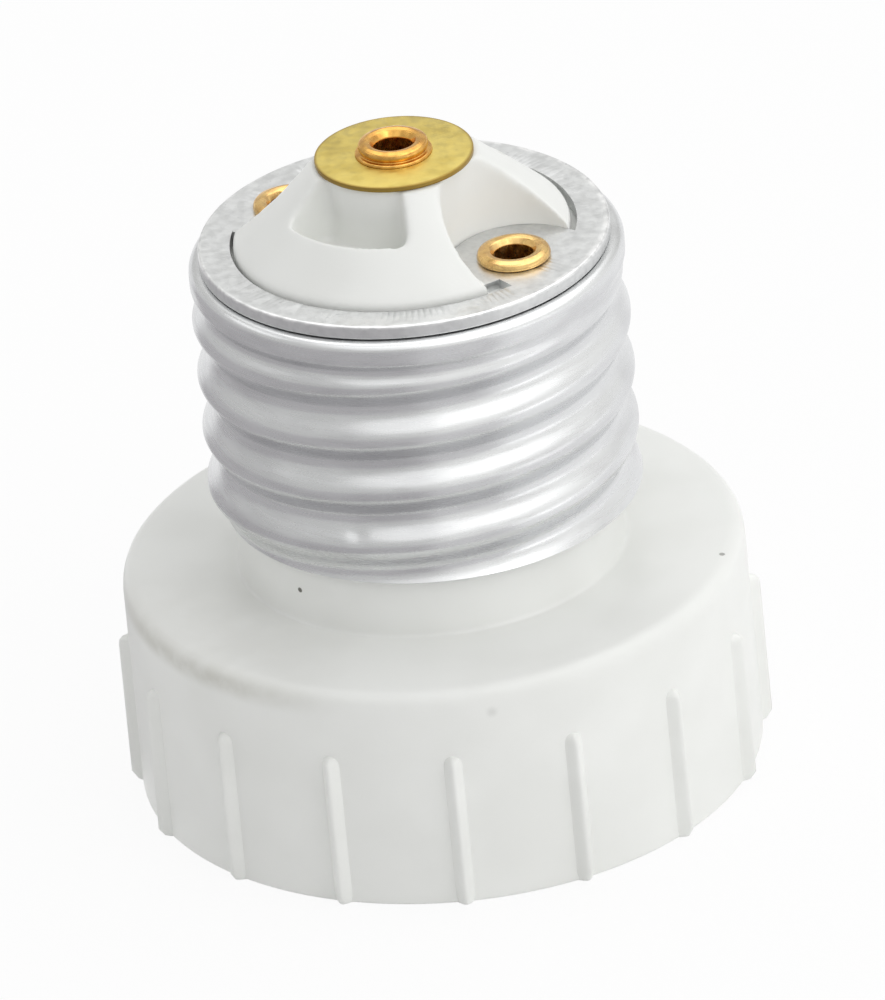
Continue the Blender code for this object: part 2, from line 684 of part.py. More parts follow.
white_pbt = material("white_pbt", (0.82, 0.82, 0.8), 0.0, 0.45)
shell_aluminium = material("shell_aluminium", (0.85, 0.85, 0.86), 1.0, 0.32)
plate_aluminium = material("plate_aluminium", (0.72, 0.73, 0.74), 1.0, 0.45)
disc_brass = material("disc_brass", (0.72, 0.6, 0.2), 1.0, 0.4)
rivet_brass = material("rivet_brass", (0.8, 0.5, 0.16), 1.0, 0.25)
spring_brass = material("spring_brass", (0.75, 0.58, 0.25), 1.0, 0.35)
screw_steel = material("screw_steel", (0.6, 0.6, 0.6), 1.0, 0.35)
cover_pbt = material("cover_pbt", (0.8, 0.8, 0.78), 0.0, 0.5)

build_housing(white_pbt)
build_screw_shell(shell_aluminium)
build_clamp_plate(plate_aluminium)
build_ring("center_contact_disc", DISC_RADIUS, RIVET_HOLE, DISC_BOTTOM, DISC_TOP, LARGE_STEPS, disc_brass)
build_rivets(rivet_brass, screw_steel)
build_contacts(spring_brass)
build_face_cover(cover_pbt)
build_cover_screws(screw_steel)
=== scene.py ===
"""Looks of the lamp socket adapter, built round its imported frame.

Lengths in the classes are millimetres, as a maker would write them. Heights come from the frame
where a piece meets a packed one. The object's axis is Z, and the photograph sees its -Y side.
"""
import logging
import math
from collections.abc import Callable, Sequence
from dataclasses import dataclass, field
from enum import Enum

import bpy
from mathutils import Matrix, Quaternion, Vector

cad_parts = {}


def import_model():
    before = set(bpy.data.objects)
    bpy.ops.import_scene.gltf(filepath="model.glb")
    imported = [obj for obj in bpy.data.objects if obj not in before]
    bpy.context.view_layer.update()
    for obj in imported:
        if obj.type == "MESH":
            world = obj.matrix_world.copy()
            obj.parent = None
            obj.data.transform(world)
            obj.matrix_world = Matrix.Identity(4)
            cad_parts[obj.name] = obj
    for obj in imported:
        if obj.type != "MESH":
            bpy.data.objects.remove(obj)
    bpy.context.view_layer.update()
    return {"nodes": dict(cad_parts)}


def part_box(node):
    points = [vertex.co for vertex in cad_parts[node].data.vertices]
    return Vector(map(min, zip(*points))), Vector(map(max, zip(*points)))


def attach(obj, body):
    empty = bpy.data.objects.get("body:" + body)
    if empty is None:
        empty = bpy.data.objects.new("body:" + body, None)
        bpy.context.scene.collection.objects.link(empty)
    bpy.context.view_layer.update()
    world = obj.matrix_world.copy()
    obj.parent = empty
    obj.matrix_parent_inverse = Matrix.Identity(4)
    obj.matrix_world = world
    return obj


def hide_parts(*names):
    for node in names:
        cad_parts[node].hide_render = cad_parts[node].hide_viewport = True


MM = 0.001

# What counts as one point, and how far a cutter runs past a face
WELD = 0.0005
RUN = 1.0

LOG = logging.getLogger("lamp_socket_adapter")

Point = tuple[float, float]
Corner = tuple[float, float, float]


class Maths(Enum):
    """What is done with the values of patterns."""

    SUM = "ADD"
    PRODUCT = "MULTIPLY"
    SIZE = "ABSOLUTE"


def mm(value: float) -> float:
    """Millimetres as metres."""
    return value * MM


def per_mm(size: float) -> float:
    """Texture scale at which one feature of a pattern is that many millimetres across."""
    return 1.0 / (size * MM)


def on_circle(radius: float, degrees: float, height: float = 0.0) -> Vector:
    """Point in metres at a radius, an angle from +X about the axis and a height in millimetres."""
    angle = math.radians(degrees)
    return Vector((radius * math.cos(angle), radius * math.sin(angle), height)) * MM


def linear(code: str) -> tuple[float, float, float, float]:
    """Linear colour of an sRGB hex value.

    Args:
        code: Six hex digits, with or without the mark before them.

    Returns:
        Red, green, blue and full opacity.
    """
    digits = code.lstrip("#")
    channels = [int(digits[i:i + 2], 16) / 255 for i in (0, 2, 4)]
    bright = [c / 12.92 if c <= 0.04045 else ((c + 0.055) / 1.055) ** 2.4 for c in channels]
    return (bright[0], bright[1], bright[2], 1.0)


def rounded(corners: Sequence[Corner], closed: bool, steps: int = 5) -> list[Point]:
    """Outline whose corners are rounded.

    Args:
        corners: Radius, height and fillet of each corner, in order.
        closed: Whether the last corner joins the first.
        steps: Edges in each fillet.

    Returns:
        Radius and height of each point of the outline.
    """
    points: list[Point] = []
    count = len(corners)
    for index, (radius, height, fillet) in enumerate(corners):
        inside = closed or 0 < index < count - 1
        if fillet <= 0 or not inside:
            points.append((radius, height))
            continue
        here = Vector((radius, height))
        before = Vector(corners[index - 1][:2]) - here
        after = Vector(corners[(index + 1) % count][:2]) - here
        half = before.angle(after) / 2
        reach = min(fillet / math.tan(half), 0.48 * before.length, 0.48 * after.length)
        start = here + before.normalized() * reach
        end = here + after.normalized() * reach
        for step in range(steps + 1):
            t = step / steps
            spot = start * (1 - t) ** 2 + here * (2 * t * (1 - t)) + end * t ** 2
            points.append((spot.x, spot.y))
    return points


# Modelling as by hand


def only(obj: bpy.types.Object) -> None:
    """Leave one object selected and active.

    Args:
        obj: The object to work on.
    """
    bpy.ops.object.select_all(action="DESELECT")
    obj.select_set(True)
    bpy.context.view_layer.objects.active = obj


def started(name: str, location: Vector) -> bpy.types.Object:
    """Object of a single vertex, in edit mode, from which an outline is drawn.

    Args:
        name: Name of the piece.
        location: Where the vertex is, in metres.

    Returns:
        The object, with its vertex selected.
    """
    bpy.ops.object.select_all(action="DESELECT")
    bpy.ops.mesh.primitive_plane_add(size=mm(1.0), location=location)
    obj = bpy.context.object
    obj.name = name
    obj.data.name = name
    bpy.ops.object.transform_apply(location=True, rotation=True, scale=True)
    bpy.context.tool_settings.mesh_select_mode = (True, False, False)
    bpy.ops.object.mode_set(mode="EDIT")
    bpy.ops.mesh.select_all(action="SELECT")
    bpy.ops.mesh.merge(type="CENTER")
    return obj


def draw_on(points: Sequence[Vector]) -> None:
    """Extend the selected vertex, which is at the first of some points, through the others."""
    for before, after in zip(points, points[1:]):
        bpy.ops.mesh.extrude_vertices_move(TRANSFORM_OT_translate={"value": after - before})


def merge_doubles() -> None:
    """Merge points that lie on each other, in edit mode, and leave everything selected."""
    bpy.ops.mesh.select_all(action="SELECT")
    bpy.ops.mesh.remove_doubles(threshold=mm(WELD))
    bpy.ops.mesh.select_all(action="SELECT")


def clean_up() -> None:
    """Merge doubles, turn faces outwards and leave edit mode."""
    merge_doubles()
    bpy.ops.mesh.normals_make_consistent(inside=False)
    bpy.ops.object.mode_set(mode="OBJECT")


def turned(name: str, outline: Sequence[Point], steps: int, closed: bool = True) -> bpy.types.Object:
    """Piece turned about the axis from a half section.

    Args:
        name: Name of the piece.
        outline: Radius and height of each point, in millimetres.
        steps: Facets round the axis.
        closed: Whether the outline comes back to its start.

    Returns:
        The turned piece.
    """
    points = [Vector((mm(radius), 0.0, mm(height))) for radius, height in outline]
    if closed:
        points.append(points[0])
    obj = started(name, points[0])
    draw_on(points)
    bpy.ops.mesh.select_all(action="SELECT")
    bpy.ops.mesh.spin(steps=steps, angle=math.tau, center=(0, 0, 0), axis=(0, 0, 1))
    clean_up()
    return obj


def upright(name: str, radius: float, low: float, high: float, centre: Vector,
            steps: int) -> bpy.types.Object:
    """Upright round cutter.

    Args:
        name: Name of the cutter.
        radius: Its radius in millimetres.
        low: Height of its lower end in millimetres.
        high: Height of its upper end in millimetres.
        centre: Point in metres that its axis passes through.
        steps: Facets round it.

    Returns:
        The cutter.
    """
    bpy.ops.object.select_all(action="DESELECT")
    middle = Vector((centre.x, centre.y, mm((low + high) / 2)))
    bpy.ops.mesh.primitive_cylinder_add(vertices=steps, radius=mm(radius), depth=mm(high - low),
                                        location=middle)
    obj = bpy.context.object
    obj.name = name
    bpy.ops.object.transform_apply(location=True, rotation=True, scale=True)
    return obj


def swept(name: str, corners: Sequence[Point], start: float, end: float, steps: int) -> bpy.types.Object:
    """Block whose section is swept about the axis through an angle.

    Args:
        name: Name of the block.
        corners: Radius and height of the section's corners, in millimetres.
        start: First angle in degrees.
        end: Last angle in degrees.
        steps: Facets along the sweep.

    Returns:
        The closed block.
    """
    points = [on_circle(radius, start, height) for radius, height in corners]
    obj = started(name, points[0])
    draw_on(points + points[:1])
    merge_doubles()
    # Spin goes clockwise about +Z here, so it is given -Z
    bpy.ops.mesh.spin(steps=steps, angle=math.radians(end - start), center=(0, 0, 0), axis=(0, 0, -1))
    merge_doubles()
    bpy.ops.mesh.fill_holes(sides=0)
    clean_up()
    return obj


def box_section(inner: float, outer: float, low: float, high: float) -> list[Point]:
    """Square section between two radii and two heights."""
    return [(inner, low), (outer, low), (outer, high), (inner, high)]


def pick_edges(obj: bpy.types.Object, test: Callable[[Vector], bool]) -> None:
    """Enter edit mode with the edges selected whose middle passes a test.

    Args:
        obj: The object to select in.
        test: Takes the middle of an edge in metres and says whether it is picked.
    """
    only(obj)
    mesh = obj.data
    bpy.context.tool_settings.mesh_select_mode = (False, True, False)
    for group in (mesh.vertices, mesh.edges, mesh.polygons):
        group.foreach_set("select", [False] * len(group))
    for edge in mesh.edges:
        ends = [mesh.vertices[index].co for index in edge.vertices]
        edge.select = test((ends[0] + ends[1]) / 2)
    bpy.ops.object.mode_set(mode="EDIT")


def applied(obj: bpy.types.Object, kind: str, **settings: object) -> None:
    """Add a modifier, set it and apply it.

    Args:
        obj: The object that is modified.
        kind: Kind of modifier.
        **settings: Its settings.
    """
    only(obj)
    modifier = obj.modifiers.new(kind.title(), kind)
    for key, value in settings.items():
        setattr(modifier, key, value)
    bpy.ops.object.modifier_apply(modifier=modifier.name)


def cut(obj: bpy.types.Object, tool: bpy.types.Object) -> None:
    """Cut a solid with another, and remove the other."""
    applied(obj, "BOOLEAN", object=tool, operation="DIFFERENCE", solver="EXACT")
    bpy.data.objects.remove(tool, do_unlink=True)


def drilled(obj: bpy.types.Object, radius: float, levels: Point, circle: float,
            turns: Sequence[float], steps: int) -> None:
    """Cut upright round holes into a piece.

    Args:
        obj: The piece.
        radius: Radius of each hole in millimetres.
        levels: Heights of its two ends in millimetres.
        circle: Radius in millimetres of the circle that the holes lie on.
        turns: Angle of each hole in degrees.
        steps: Facets round each.
    """
    for turn in turns:
        cut(obj, upright("drill", radius, *levels, on_circle(circle, turn), steps))


def joined(pieces: Sequence[bpy.types.Object]) -> bpy.types.Object:
    """Several objects as one.

    Args:
        pieces: The objects, of which the first stays.

    Returns:
        The first object.
    """
    only(pieces[0])
    for piece in pieces[1:]:
        piece.select_set(True)
    bpy.ops.object.join()
    return pieces[0]


def copied(obj: bpy.types.Object, places: dict[str, Matrix]) -> list[bpy.types.Object]:
    """Copies of a piece, each moved in its own mesh.

    Args:
        obj: The piece, which is used up.
        places: Name of each copy, and how it is moved.

    Returns:
        The copies.
    """
    copies = []
    for name, move in places.items():
        copy = obj.copy()
        copy.data = obj.data.copy()
        copy.name = name
        copy.data.transform(move)
        bpy.context.scene.collection.objects.link(copy)
        copies.append(copy)
    bpy.data.objects.remove(obj, do_unlink=True)
    return copies


def softened(obj: bpy.types.Object, width: float) -> None:
    """Round the edges of a piece that are sharper than 35 degrees by a width in millimetres."""
    applied(obj, "BEVEL", width=mm(width), segments=2, limit_method="ANGLE",
            angle_limit=math.radians(35.0), use_clamp_overlap=True)


def smooth(obj: bpy.types.Object, above: float, flats: bool = False) -> None:
    """Shade a piece smooth, apart from edges sharper than an angle in degrees.

    Args:
        obj: The piece.
        above: The angle.
        flats: Whether large flat faces stay flat right up to their rounded edges.
    """
    only(obj)
    bpy.ops.object.shade_smooth_by_angle(angle=math.radians(above))
    if flats:
        applied(obj, "WEIGHTED_NORMAL", keep_sharp=True)


# Finishes


def add_node(tree: bpy.types.NodeTree, kind: str, values: dict[int | str, object] | None = None,
             links: dict[int | str, bpy.types.NodeSocket] | None = None,
             **settings: object) -> bpy.types.Node:
    """Add a node with its settings and links.

    Args:
        tree: Tree that gets the node.
        kind: Type of the node.
        values: Plain values of its inputs.
        links: Sockets that feed its inputs.
        **settings: Properties of the node.

    Returns:
        The node.
    """
    node = tree.nodes.new(kind)
    for key, value in settings.items():
        setattr(node, key, value)
    for key, value in (values or {}).items():
        node.inputs[key].default_value = value
    for key, socket in (links or {}).items():
        tree.links.new(socket, node.inputs[key])
    return node


class Tones:
    """Node work that the finishes share, on one material's tree."""

    def __init__(self, tree: bpy.types.NodeTree) -> None:
        """Start from the object's own coordinates."""
        self.tree = tree
        self.place = add_node(tree, "ShaderNodeTexCoord").outputs["Object"]

    def noise(self, size: float, detail: float = 3.0,
              stretch: tuple[float, float, float] = (1.0, 1.0, 1.0)) -> bpy.types.NodeSocket:
        """Soft random pattern.

        Args:
            size: Width of a patch in millimetres.
            detail: How much finer pattern lies on it.
            stretch: Scale along each axis, where a smaller number makes longer patches.

        Returns:
            Its value, from 0 to 1.
        """
        mapped = add_node(self.tree, "ShaderNodeMapping", {"Scale": stretch}, {"Vector": self.place})
        node = add_node(self.tree, "ShaderNodeTexNoise", {"Scale": per_mm(size), "Detail": detail},
                        {"Vector": mapped.outputs[0]})
        return node.outputs["Fac"]

    def ranged(self, value: bpy.types.NodeSocket, low: float, high: float, to_low: float = 0.0,
               to_high: float = 1.0) -> bpy.types.NodeSocket:
        """Value moved smoothly from one range to another, and held at its ends.

        Args:
            value: The value.
            low: Where the range starts.
            high: Where it ends.
            to_low: Result at its start.
            to_high: Result at its end.

        Returns:
            The result.
        """
        node = add_node(self.tree, "ShaderNodeMapRange",
                        {"From Min": low, "From Max": high, "To Min": to_low, "To Max": to_high},
                        {"Value": value}, interpolation_type="SMOOTHSTEP")
        return node.outputs[0]

    def worked(self, maths: Maths, first: bpy.types.NodeSocket,
               second: bpy.types.NodeSocket | float = 0.0) -> bpy.types.NodeSocket:
        """Result of a sum or product.

        Args:
            maths: What is done.
            first: First value.
            second: Second value, or a number.

        Returns:
            The result.
        """
        number = isinstance(second, float)
        values = {1: second} if number else {}
        links = {0: first} if number else {0: first, 1: second}
        return add_node(self.tree, "ShaderNodeMath", values, links, operation=maths.value).outputs[0]

    def mixed(self, mask: bpy.types.NodeSocket, first: str | bpy.types.NodeSocket, second: str,
              share: float = 1.0) -> bpy.types.NodeSocket:
        """Mix of two colours.

        Args:
            mask: Where the second colour lies, from 0 to 1.
            first: First colour, as a hex value or a socket.
            second: Second colour, as a hex value.
            share: Share of the second colour where the mask is 1.

        Returns:
            The mixed colour.
        """
        if share < 1.0:
            mask = self.worked(Maths.PRODUCT, mask, share)
        values: dict[int | str, object] = {7: linear(second)}
        links: dict[int | str, bpy.types.NodeSocket] = {0: mask}
        if isinstance(first, str):
            values[6] = linear(first)
        else:
            links[6] = first
        return add_node(self.tree, "ShaderNodeMix", values, links, data_type="RGBA").outputs[2]

    def spot(self, centre: Vector, size: float, soft: float) -> bpy.types.NodeSocket:
        """Mask that is 1 near a point of the piece.

        Args:
            centre: The point in metres.
            size: Radius of the mask in millimetres.
            soft: Share of the radius over which it fades.

        Returns:
            The mask.
        """
        node = add_node(self.tree, "ShaderNodeVectorMath", {1: centre}, {0: self.place},
                        operation="DISTANCE")
        return self.ranged(node.outputs["Value"], mm(size * (1 - soft)), mm(size), 1.0, 0.0)

    def height(self) -> bpy.types.NodeSocket:
        """Height of the point, in metres."""
        return add_node(self.tree, "ShaderNodeSeparateXYZ", None, {0: self.place}).outputs["Z"]

    def distance_from_axis(self) -> bpy.types.NodeSocket:
        """Distance of the point from the axis.

        Returns:
            The distance in metres.
        """
        flat = add_node(self.tree, "ShaderNodeVectorMath", {1: (1.0, 1.0, 0.0)}, {0: self.place},
                        operation="MULTIPLY")
        return add_node(self.tree, "ShaderNodeVectorMath", None, {0: flat.outputs[0]},
                        operation="LENGTH").outputs["Value"]

    def bump(self, value: bpy.types.NodeSocket, depth: float, strength: float,
             normal: bpy.types.NodeSocket | None = None) -> bpy.types.NodeSocket:
        """Relief from a value.

        Args:
            value: The value, from 0 to 1.
            depth: Depth of the relief in millimetres.
            strength: How much of it shows.
            normal: Relief that this one lies on.

        Returns:
            The normal.
        """
        links = {"Height": value}
        if normal is not None:
            links["Normal"] = normal
        return add_node(self.tree, "ShaderNodeBump", {"Strength": strength, "Distance": mm(depth)},
                        links).outputs[0]


@dataclass(frozen=True)
class Finish:
    """Plain start of every finish."""

    name: str
    colour: str
    roughness: float
    metallic: float = 0.0

    def material(self) -> bpy.types.Material:
        """Material of this finish, with its nodes.

        Returns:
            The material.
        """
        made = bpy.data.materials.new(self.name)
        made.use_nodes = True
        tree = made.node_tree
        shader = tree.nodes["Principled BSDF"]
        shader.inputs["Base Color"].default_value = linear(self.colour)
        shader.inputs["Metallic"].default_value = self.metallic
        shader.inputs["Roughness"].default_value = self.roughness
        self.dress(Tones(tree), shader)
        return made

    def dress(self, tones: Tones, shader: bpy.types.Node) -> None:
        """Add the detail of the finish, which each kind of finish has its own way to do."""
        raise NotImplementedError

    def uneven(self, tones: Tones, value: bpy.types.NodeSocket, less: float,
               more: float) -> bpy.types.NodeSocket:
        """Roughness that a pattern takes a little below and above the finish's own."""
        return tones.ranged(value, 0.3, 0.7, self.roughness - less, self.roughness + more)

    def link(self, tones: Tones, shader: bpy.types.Node, **sockets: bpy.types.NodeSocket) -> None:
        """Feed the shader's inputs, named with underscores for spaces."""
        for key, socket in sockets.items():
            tones.tree.links.new(socket, shader.inputs[key.replace("_", " ")])


@dataclass(frozen=True)
class Mark:
    """A speck or smudge at one place, or the reach of a band of painted shade."""

    centre: Vector
    size: float
    share: float
    soft: float = 0.4


@dataclass(frozen=True)
class MouldedPbt(Finish):
    """Injection-moulded white PBT: semi-gloss, faintly cloudy and finely grained, with specks and a band of
    painted shade.
    """

    cloud: str = "#E4E5E1"
    speck: str = "#4B473C"
    # Olive-grey of the painted shade band on the cap's rounded edge
    painted_shade_colour: str = "#8F8A72"
    grain: float = 0.22
    specular: float = 0.45
    marks: tuple[Mark, ...] = ()
    # Reach and height of the painted shade band on the cap's rounded edge
    painted_edge_shade: Mark | None = None
    painted_edge_shade_height: float = 13.6

    def dress(self, tones: Tones, shader: bpy.types.Node) -> None:
        """Cloudy white, grain, and an olive band of painted shade along the rounded edge of the cap.

        Args:
            tones: Helper on the material's tree.
            shader: The material's shader.
        """
        clouds = tones.ranged(tones.noise(7.0, 2.0), 0.35, 0.7)
        colour = tones.mixed(clouds, self.colour, self.cloud, 0.35)
        for mark in self.marks:
            spot = tones.spot(mark.centre, mark.size, mark.soft)
            colour = tones.mixed(spot, colour, self.speck, mark.share)
        if self.painted_edge_shade:
            # Painted shade: a soft olive band along the rounded edge of the cap, on its left side, broken
            # into patches
            above = tones.worked(Maths.SUM, tones.height(), mm(-self.painted_edge_shade_height))
            band = tones.ranged(tones.worked(Maths.SIZE, above), mm(0.05), mm(1.1), 1.0, 0.0)
            reach = tones.spot(self.painted_edge_shade.centre, self.painted_edge_shade.size, self.painted_edge_shade.soft)
            patches = tones.ranged(tones.noise(1.6, 4.0), 0.3, 0.6, 0.6, 1.0)
            painted_shade_mask = tones.worked(Maths.PRODUCT, tones.worked(Maths.PRODUCT, band, reach), patches)
            colour = tones.mixed(painted_shade_mask, colour, self.painted_shade_colour, self.painted_edge_shade.share)
        rough = self.uneven(tones, tones.noise(2.5, 4.0), 0.05, 0.07)
        relief = tones.bump(tones.noise(self.grain, 2.0), 0.012, 0.35)
        relief = tones.bump(tones.noise(4.0, 1.0), 0.03, 0.2, relief)
        self.link(tones, shader, Base_Color=colour, Roughness=rough, Normal=relief)
        shader.inputs["Specular IOR Level"].default_value = self.specular


@dataclass(frozen=True)
class RolledAluminium(Finish):
    """Thin aluminium rolled into a thread: bright and even, with faint drawn lines that run round it."""

    dull: str = "#C6C6C8"

    def dress(self, tones: Tones, shader: bpy.types.Node) -> None:
        """Drawn lines, and a faint bloom that dulls the shine here and there.

        Args:
            tones: Helper on the material's tree.
            shader: The material's shader.
        """
        drawn = tones.noise(0.5, 4.0, (0.2, 0.2, 3.0))
        bloom = tones.ranged(tones.noise(3.4, 3.0, (0.6, 0.6, 2.2)), 0.4, 0.7)
        colour = tones.mixed(bloom, self.colour, self.dull, 0.5)
        rough = self.uneven(tones, drawn, 0.04, 0.05)
        relief = tones.bump(drawn, 0.004, 0.3)
        relief = tones.bump(tones.noise(2.6, 1.0, (0.5, 0.5, 1.5)), 0.02, 0.3, relief)
        self.link(tones, shader, Base_Color=colour, Roughness=rough, Normal=relief)


@dataclass(frozen=True)
class StampedAluminium(Finish):
    """Stamped aluminium ring: satin and finely mottled, rubbed bright along its rim."""

    bright: str = "#EFEFEF"
    pit: str = "#9FA0A2"
    rim_radius: float = 12.45
    rubbed_width: Point = (0.4, 0.1)
    rubbed_depth: Point = (0.25, 0.08)

    def dress(self, tones: Tones, shader: bpy.types.Node) -> None:
        """Mottle, pits and the rubbed rim.

        Args:
            tones: Helper on the material's tree.
            shader: The material's shader.
        """
        mottle = tones.ranged(tones.noise(0.45, 4.0), 0.35, 0.68)
        colour = tones.mixed(mottle, self.colour, self.pit, 0.18)
        pits = tones.ranged(tones.noise(0.3, 1.0), 0.72, 0.8)
        colour = tones.mixed(pits, colour, self.pit, 0.4)
        near_rim = tones.ranged(tones.distance_from_axis(),
                                *(mm(self.rim_radius - width) for width in self.rubbed_width))
        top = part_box("shell_clamp_plate")[1].z
        above = tones.ranged(tones.height(), *(top - mm(depth) for depth in self.rubbed_depth))
        rubbed = tones.worked(Maths.PRODUCT, near_rim, tones.ranged(tones.noise(0.8, 4.0), 0.34, 0.6))
        colour = tones.mixed(tones.worked(Maths.PRODUCT, rubbed, above), colour, self.bright)
        rough = self.uneven(tones, tones.noise(0.6, 4.0), 0.05, 0.06)
        relief = tones.bump(tones.noise(0.2, 3.0), 0.012, 0.4)
        self.link(tones, shader, Base_Color=colour, Roughness=rough, Normal=relief)


@dataclass(frozen=True)
class Brass(Finish):
    """Brass in sheet or tube: coloured metal with tarnish in soft patches and fine rubbed lines."""

    tarnish: str = "#6E5A1E"
    patch: float = 1.6
    share: float = 0.5
    line: tuple[float, float, float] = (1.0, 1.0, 1.0)
    edge_radius: float = 0.0
    edge_width: float = 0.22
    edge_tarnish: str = "#8A6A30"

    def dress(self, tones: Tones, shader: bpy.types.Node) -> None:
        """Tarnish, darker along the edge of a disc, and fine lines.

        Args:
            tones: Helper on the material's tree.
            shader: The material's shader.
        """
        patches = tones.ranged(tones.noise(self.patch, 4.0), 0.36, 0.72)
        colour = tones.mixed(patches, self.colour, self.tarnish, self.share)
        if self.edge_radius:
            edge = tones.ranged(tones.distance_from_axis(), mm(self.edge_radius - self.edge_width),
                                mm(self.edge_radius), 0.0, 0.75)
            colour = tones.mixed(edge, colour, self.edge_tarnish)
        rough = self.uneven(tones, tones.noise(0.5, 3.0, self.line), 0.06, 0.1)
        relief = tones.bump(tones.noise(0.35, 3.0, self.line), 0.012, 0.5)
        self.link(tones, shader, Base_Color=colour, Roughness=rough, Normal=relief)


@dataclass(frozen=True)
class PlatedSteel(Finish):
    """Zinc-plated steel: grey with a faint uneven bloom."""

    bloom: str = "#8C8F94"

    def dress(self, tones: Tones, shader: bpy.types.Node) -> None:
        """Uneven plating.

        Args:
            tones: Helper on the material's tree.
            shader: The material's shader.
        """
        patches = tones.ranged(tones.noise(0.8, 4.0), 0.3, 0.7)
        colour = tones.mixed(patches, self.colour, self.bloom)
        rough = tones.ranged(patches, 0.0, 1.0, self.roughness - 0.05, self.roughness + 0.1)
        self.link(tones, shader, Base_Color=colour, Roughness=rough,
                  Normal=tones.bump(tones.noise(0.25, 2.0), 0.01, 0.4))


# Sub-assemblies


def levels_of(node: str) -> Point:
    """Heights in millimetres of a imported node's lower and upper end."""
    low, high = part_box(node)
    return (low.z / MM, high.z / MM)


@dataclass
class Heights:
    """Heights in millimetres at which pieces meet, read from the frame."""

    shell_bottom: float = field(init=False)
    shell_top: float = field(init=False)
    plate_top: float = field(init=False)
    disc_bottom: float = field(init=False)
    disc_top: float = field(init=False)
    top: float = field(init=False)

    def __post_init__(self) -> None:
        """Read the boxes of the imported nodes."""
        self.shell_bottom, self.shell_top = levels_of("screw_shell")
        self.plate_top = levels_of("shell_clamp_plate")[1]
        self.disc_bottom, self.disc_top = levels_of("center_contact_disc")
        self.top = levels_of("center_rivet")[1]


def finished(obj: bpy.types.Object, finish: Finish, slot: str, *nodes: str) -> None:
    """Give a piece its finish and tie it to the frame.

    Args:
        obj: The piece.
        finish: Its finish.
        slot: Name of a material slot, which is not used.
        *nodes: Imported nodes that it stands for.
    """
    obj.data.materials.clear()
    obj.data.materials.append(finish.material())
    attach(obj, "root")
    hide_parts(*nodes)
    LOG.info("%s: %d faces, for %s", obj.name, len(obj.data.polygons), ", ".join(nodes))


